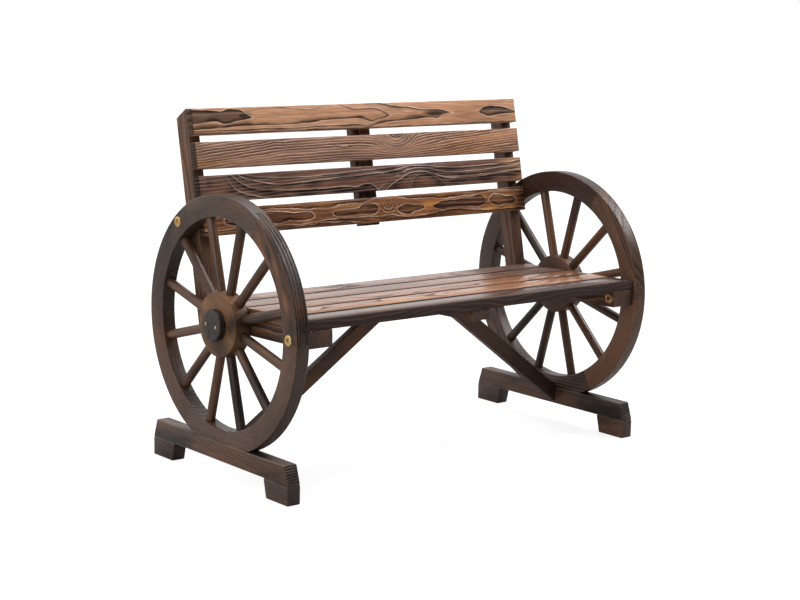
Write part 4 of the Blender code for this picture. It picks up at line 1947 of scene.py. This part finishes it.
@dataclass
class Seat:
    """Seat slats, bearers, batten and braces.

    Attributes:
        tilt: how much the seat falls to the rear.
        slat_arris: radius of the slats' edges.
        slat_stray: how uneven the slats' faces are.
    """

    tilt: float = math.radians(1.2)
    slat_arris: float = 0.0016
    slat_stray: float = 0.0

    def build(self) -> None:
        """Show every piece of the seat."""
        lay = Matrix.Rotation(-self.tilt, 4, "X")
        for number, (wood, figure) in enumerate(self._slats(), 1):
            name = f"seat_slat_{number}"
            Board(name, lay, wood, figure, Slot.SEAT, self.slat_arris, self.slat_stray).build()
        fore = lay @ Matrix.Rotation(math.pi / 2, 4, "Z")
        for side in Side:
            figure = Figure(Cut.RIFT, 0.006, wander=0.012, seed=61 + side.value)
            SawnBoard(f"{side.prefix}_seat_bearer", fore, FRAME_WOOD, figure, Slot.FRAME).build()
            self._build_brace(side)
        Board("seat_batten", fore, FRAME_WOOD, Figure(Cut.FLAT, 0.005, seed=69), Slot.FRAME).build()

    @staticmethod
    def _slats() -> list[tuple[Wood, Figure]]:
        """Finish and figure of each slat.

        Returns:
            One pair a slat, from the front.
        """
        # Painted shade: the front slat is darkened along its front edge and on its right half, where it
        # mirrors less light, and the fourth and rear slats towards their right ends, where they mirror the
        # dark wheel.
        front_painted_shade = (Swell(0, -0.036, 9, 0.021, 0.93), Swell(0.28, -0.012, 0.26, 0.030, 0.75))
        fourth_painted_shade = (Swell(0.40, 0, 0.15, 9, 0.70),)
        rear_painted_shade = (Swell(0.36, 0, 0.17, 9, 0.76),)
        bodies = (
            (0.12, 0.056, 0.036),
            (0.46, 0.200, 0.090),
            (0.34, 0.145, 0.070),
            (0.26, 0.114, 0.068),
            (0.26, 0.116, 0.070),
        )
        figures = (
            Figure(Cut.RIFT, 0.0060, wander=0.014, seed=51, plain=0.45, blots=front_painted_shade),
            Figure(Cut.FLAT, 0.0050, shift=(0.01, 0), wander=0.016, seed=52),
            Figure(Cut.FLAT, 0.0055, shift=(-0.015, 0), wander=0.014, seed=53),
            Figure(Cut.RIFT, 0.0050, wander=0.012, seed=54, blots=fourth_painted_shade),
            Figure(Cut.FLAT, 0.0050, wander=0.018, seed=55, blots=rear_painted_shade),
        )
        # Painted shade on the sides of the slats in their gaps; the front slat's wide dark border is partly
        # charred edge and partly painted shade along its front.
        woods = [replace(SEAT_WOOD, body=body, flank=1.0) for body in bodies]
        woods[0] = replace(woods[0], flank=0.0, border=0.010)
        return list(zip(woods, figures))

    @staticmethod
    def _build_brace(side: Side) -> None:
        """Show one brace.

        Args:
            side: which end of the bench it comes from.
        """
        name = f"{side.prefix}_brace"
        low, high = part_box(name)
        rise = math.atan2(high.z - low.z, high.x - low.x) * side.value
        lay = Matrix.Rotation(rise, 4, "Y") @ Matrix.Rotation(math.pi / 2, 4, "X")
        # The dark spot darkens the brace towards its outer end.
        soot = (Swell(0.20 * side.value, 0, 0.15, 0.10, 0.75),)
        figure = Figure(Cut.RIFT, 0.006, wander=0.010, seed=66 + side.value, plain=0.45, blots=soot)
        SawnBoard(name, lay, FRAME_WOOD, figure, Slot.FRAME).build()


@dataclass
class Back:
    """Back slats, posts and batten.

    Attributes:
        lean: how far the back leans to the rear.
        slats: finish and figure of each slat, from the top.
    """

    lean: float = math.radians(11.5)
    slats: tuple[tuple[Wood, Figure], ...] = (
        (ORANGE, FLAME),
        (ROSE, EYE),
        (SMOKED, ARCH),
        (RUSSET, ISLANDS),
    )

    def build(self) -> None:
        """Show every piece of the back."""
        lay = Matrix.Rotation(math.pi / 2 - self.lean, 4, "X")
        for number, (wood, figure) in enumerate(self.slats, 1):
            Board(f"back_slat_{number}", lay, wood, figure, Slot.BACK).build()
        upright = lay @ Matrix.Rotation(math.pi / 2, 4, "Z")
        for side in Side:
            figure = Figure(Cut.RIFT, 0.007, wander=0.008, seed=81 + side.value, plain=0.6)
            SawnBoard(f"{side.prefix}_back_post", upright, POST_WOOD, figure, Slot.FRAME).build()
        Board("back_batten", upright, FRAME_WOOD, Figure(Cut.FLAT, 0.005, seed=87), Slot.FRAME).build()


@dataclass
class Fasteners:
    """Coach bolts through rims, nuts inside the bearers and screws in the hub caps.

    Attributes:
        bolts: place of each bolt on a rim's outer face, Y and Z.
        head_radius: radius of a bolt's head and of a nut's flange.
        head_height: height of a bolt's head.
        head_root: how deep it is let in.
        head_round: radius of its edge.
        key_radius: radius of the six-sided socket in it, and of a nut's bore.
        key_floor: height of the socket's floor.
        nut: place of the nut on a bearer's inner face, Y and Z.
        nut_height: height of its flange.
        nut_root: how deep it is let in.
        nut_round: radius of its edges.
        bore_depth: how far its bore goes in.
        screws: place of each cap screw beside the axle, Y and Z.
        screw_radius: radius of a cap screw's head.
        screw_height: height of the head.
        screw_root: how deep it is let in.
        screw_round: radius of its edge.
        recess_depth: depth of the cross in it.
        recess_width: width of a bar of the cross.
        recess_length: length of a bar.
    """

    bolts: tuple[tuple[float, float], ...] = ((-0.2525, 0.3507), (0.1650, 0.5477))
    head_radius: float = 0.0116
    head_height: float = 0.0032
    head_root: float = 0.0020
    head_round: float = 0.00176
    key_radius: float = 0.0050
    key_floor: float = 0.00048
    nut: tuple[float, float] = (-0.2560, 0.3510)
    nut_height: float = 0.0022
    nut_root: float = 0.0060
    nut_round: float = 0.0010
    bore_depth: float = 0.0050
    screws: tuple[tuple[float, float], ...] = ((-0.0185, -0.0015), (0.0185, 0.0015))
    screw_radius: float = 0.0036
    screw_height: float = 0.0012
    screw_root: float = 0.0010
    screw_round: float = 0.0009
    recess_depth: float = 0.0008
    recess_width: float = 0.0008
    recess_length: float = 0.00432

    def build(self) -> None:
        """Show every fastener."""
        for side in Side:
            prefix, sign = side.prefix, side.value
            out = Matrix.Rotation(0 if sign > 0 else math.pi, 4, "Z")
            rim = max(abs(corner.x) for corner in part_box(f"{prefix}_felloe_1"))
            for name, spot in zip(("front", "rear"), self.bolts):
                place = Matrix.Translation((sign * rim, *spot)) @ out
                self._bolt(f"{prefix}_rim_bolt_{name}", place)
            bearer = min(abs(corner.x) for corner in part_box(f"{prefix}_seat_bearer"))
            inward = Matrix.Rotation(math.pi, 4, "Z") @ out
            self._nut(f"{prefix}_bearer_nut", Matrix.Translation((sign * bearer, *self.nut)) @ inward)
            low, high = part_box(f"{prefix}_hub_cap")
            middle = (low + high) / 2
            cap = max(abs(low.x), abs(high.x))
            for name, (y, z) in zip(("front", "rear"), self.screws):
                place = Matrix.Translation((sign * cap, middle.y + y, middle.z + z)) @ out
                self._screw(f"{prefix}_cap_screw_{name}", place)

    @staticmethod
    def _head(name: str, size: tuple[float, float, float], rounded: float, sides: int) -> bpy.types.Mesh:
        """Round head that stands on X, with its top edge rounded.

        Args:
            name: name of the mesh.
            size: its radius, how deep it is let in and its height.
            rounded: radius of the edge.
            sides: how many sides it has.

        Returns:
            The head.
        """
        radius, root, height = size
        shape = bmesh.new()
        add_rod(shape, radius, -root, height, sides)
        top = [edge for edge in sharp_edges(shape) if all(corner.co.x > 0 for corner in edge.verts)]
        round_off(shape, top, rounded)
        return mesh_from(name, shape)

    def _bolt(self, name: str, place: Matrix) -> None:
        """Show a flat bolt head with a six-sided socket.

        Args:
            name: name of the bolt.
            place: from its own axes, with X out of the wood, to the frame.
        """
        size = (self.head_radius, self.head_root, self.head_height)
        head = self._head(name, size, self.head_round, DOWEL_SIDES * 2)
        socket = bmesh.new()
        add_rod(socket, self.key_radius, self.key_floor, self.head_height * 2, KEY_SIDES)
        mesh = carved(head, mesh_from("socket", socket))
        mesh.transform(place)
        show(name, mesh, BRASS.dress(name))

    def _nut(self, name: str, place: Matrix) -> None:
        """Show the flange of a sleeve nut with its bore.

        Args:
            name: name of the nut.
            place: from its own axes, with X out of the wood, to the frame.
        """
        shape = bmesh.new()
        add_rod(shape, self.head_radius, -self.nut_root, self.nut_height, DOWEL_SIDES * 2)
        round_off(shape, sharp_edges(shape), self.nut_round)
        bore = bmesh.new()
        add_rod(bore, self.key_radius, -self.bore_depth, self.nut_height + BEYOND)
        mesh = carved(mesh_from(name, shape), mesh_from("bore", bore))
        mesh.transform(place)
        show(name, mesh, COPPER.dress(name))

    def _screw(self, name: str, place: Matrix) -> None:
        """Show a domed screw head with a cross recess.

        Args:
            name: name of the screw.
            place: from its own axes, with X out of the wood, to the frame.
        """
        size = (self.screw_radius, self.screw_root, self.screw_height)
        mesh = self._head(name, size, self.screw_round, DOWEL_SIDES)
        bar = Matrix.Diagonal((2 * self.recess_depth, self.recess_width, self.recess_length, 1))
        for angle in (0, math.pi / 2):
            spot = Matrix.Rotation(angle, 4, "X") @ Matrix.Translation((self.screw_height, 0, 0))
            recess = bmesh.new()
            bmesh.ops.create_cube(recess, size=1, matrix=spot @ bar)
            mesh = carved(mesh, mesh_from("recess", recess))
        mesh.transform(place)
        show(name, mesh, BRASS.dress(name))


@dataclass(frozen=True)
class Lamp:
    """A soft lamp, aimed at the middle of the bench.

    Attributes:
        name: its name.
        heading: direction from the bench to it.
        distance: how far off it is.
        size: its width and height.
        power: in watts.
        aim_height: height of the point that it is aimed at.
    """

    name: str
    heading: tuple[float, float, float]
    distance: float
    size: tuple[float, float]
    power: float
    aim_height: float = 0.4

    def build(self) -> None:
        """Hang the lamp."""
        heading = Vector(self.heading)
        data = bpy.data.lights.new(self.name, "AREA")
        data.shape = "RECTANGLE"
        data.size, data.size_y = self.size
        data.energy = self.power
        lamp = bpy.data.objects.new(self.name, data)
        lamp.location = Vector((0, 0, self.aim_height)) + heading.normalized() * self.distance
        lamp.rotation_euler = heading.to_track_quat("Z", "Y").to_euler()
        bpy.context.scene.collection.objects.link(lamp)


@dataclass
class Studio:
    """White floor and backdrop, soft lamps and the camera.

    Attributes:
        azimuth: the camera's angle to the left of the bench's front.
        elevation: its angle above the horizon.
        roll: its tilt to the right.
        distance: from the camera to the point it looks at.
        aim_across: that point's distance to the right of the middle.
        aim_height: that point's height.
        lens: focal length in millimetres.
        sensor: sensor width in millimetres.
        floor_reach: how far the floor goes on from the middle.
        floor_grey: how much of the light the floor throws back at the bench.
        floor_white: how bright the floor looks to the camera.
        shadow_grey: how light the part of the floor that takes the shadow is.
        shadow_share: how much of that part shows under the bench.
        shadow_reach: distances between which it fades out.
        front_light: light from the camera's side.
        rear_light: light from behind the bench.
        sky_light: further light from above.
        lamps: the soft lamps.
    """

    azimuth: float = math.radians(39.481)
    elevation: float = math.radians(9.939)
    roll: float = math.radians(1.166)
    distance: float = 4.13248
    aim_across: float = -0.01075
    aim_height: float = 0.34831
    lens: float = 80.016
    sensor: float = 36.0
    floor_reach: float = 12
    floor_grey: float = 0.42
    floor_white: float = 1.2
    shadow_grey: float = 0.90
    shadow_share: float = 0.3
    shadow_reach: tuple[float, float] = (0.5, 2.4)
    front_light: float = 0.14
    rear_light: float = 0.95
    sky_light: float = 0.45
    lamps: tuple[Lamp, ...] = (
        Lamp("key", (0.63, -0.31, 0.72), 3.0, (1.5, 1.5), 70),
        Lamp("fill", (-0.92, -0.28, 0.35), 4.0, (2.0, 2.0), 45),
        Lamp("top", (-0.05, 0.15, 1.0), 3.2, (2.6, 1.8), 50),
    )

    def build(self) -> None:
        """Set up everything round the bench."""
        self._camera()
        self._floor()
        self._world()
        for lamp in self.lamps:
            lamp.build()
        bpy.context.scene.view_settings.view_transform = "Standard"

    def _camera(self) -> None:
        """Place the camera at the photograph's point of view."""
        level = Vector((math.cos(self.azimuth), -math.sin(self.azimuth), 0))
        toward = Vector((-math.sin(self.azimuth), -math.cos(self.azimuth), 0)) * math.cos(self.elevation)
        toward.z = math.sin(self.elevation)
        aim = Vector((0, 0, self.aim_height)) + level * self.aim_across
        rise = toward.cross(level)
        right = math.cos(self.roll) * level + math.sin(self.roll) * rise
        up = math.cos(self.roll) * rise - math.sin(self.roll) * level
        data = bpy.data.cameras.new("camera")
        data.lens = self.lens
        data.sensor_width = self.sensor
        camera = bpy.data.objects.new("camera", data)
        turned = Matrix((right, up, toward)).transposed()
        camera.matrix_world = Matrix.Translation(aim + toward * self.distance) @ turned.to_4x4()
        bpy.context.scene.collection.objects.link(camera)
        bpy.context.scene.camera = camera

    def _floor(self) -> None:
        """Pale floor, white to the camera apart from the bench's soft shadow."""
        shape = bmesh.new()
        bmesh.ops.create_grid(shape, x_segments=1, y_segments=1, size=self.floor_reach)
        mesh = mesh_from("floor", shape)
        floor = bpy.data.objects.new("floor", mesh)
        bpy.context.scene.collection.objects.link(floor)
        material, sheet = new_material("floor")
        paper, shaded = (
            sheet.add("ShaderNodeBsdfDiffuse", {"Color": (grey, grey, grey, 1)}).outputs[0]
            for grey in (self.floor_grey, self.shadow_grey)
        )
        glow = {"Color": (1, 1, 1, 1), "Strength": self.floor_white}
        white = sheet.add("ShaderNodeEmission", glow).outputs[0]
        point = sheet.add("ShaderNodeTexCoord", {}).outputs["Object"]
        away = sheet.vector("LENGTH", point, out="Value")
        shadow = sheet.span(away, *self.shadow_reach, self.shadow_share, 0.0)
        blend = sheet.add("ShaderNodeMixShader", {0: shadow, 1: white, 2: shaded}).outputs[0]
        seen = sheet.add("ShaderNodeLightPath", {}).outputs["Is Camera Ray"]
        surface = sheet.add("ShaderNodeMixShader", {0: seen, 1: paper, 2: blend}).outputs[0]
        sheet.add("ShaderNodeOutputMaterial", {"Surface": surface})
        mesh.materials.append(material)

    def _world(self) -> None:
        """White backdrop, bright behind and above the bench and dim on the camera's side."""
        world = bpy.data.worlds.new("studio")
        world.use_nodes = True
        bpy.context.scene.world = world
        sheet = NodeSheet(world.node_tree)
        heading = sheet.add("ShaderNodeTexCoord", {}).outputs["Generated"]
        axes = sheet.axes(heading)
        behind = sheet.span(axes["Y"], -0.45, 0.45, self.front_light, self.rear_light)
        above = sheet.span(axes["Z"], 0.35, 0.95, 0.0, self.sky_light)
        light = sheet.maths("ADD", behind, above)
        path = sheet.add("ShaderNodeLightPath", {}).outputs
        seen = sheet.maths("MAXIMUM", path["Is Camera Ray"], path["Is Transmission Ray"])
        strength = sheet.mix(seen, sheet.grey(light), (1, 1, 1))
        backdrop = sheet.add("ShaderNodeBackground", {"Color": strength, "Strength": 1.0})
        sheet.add("ShaderNodeOutputWorld", {"Surface": backdrop.outputs[0]})


def main() -> None:
    """Build the bench and the studio round it."""
    logging.basicConfig(level=logging.INFO, format="%(name)s: %(message)s")
    Wheel(Side.LEFT, LEFT_FELLOES, HUB_WOOD).build()
    Wheel(Side.RIGHT, RIGHT_FELLOES, DARK_HUB_WOOD, first_shade=5).build()
    Foot(Side.LEFT, (0.75, 0.20, 0.20)).build()
    Foot(Side.RIGHT, (0.55, 0.90, 0.25), RINGED_WOOD).build()
    Seat().build()
    Back().build()
    Fasteners().build()
    Studio().build()


if __name__ == "__main__":
    main()
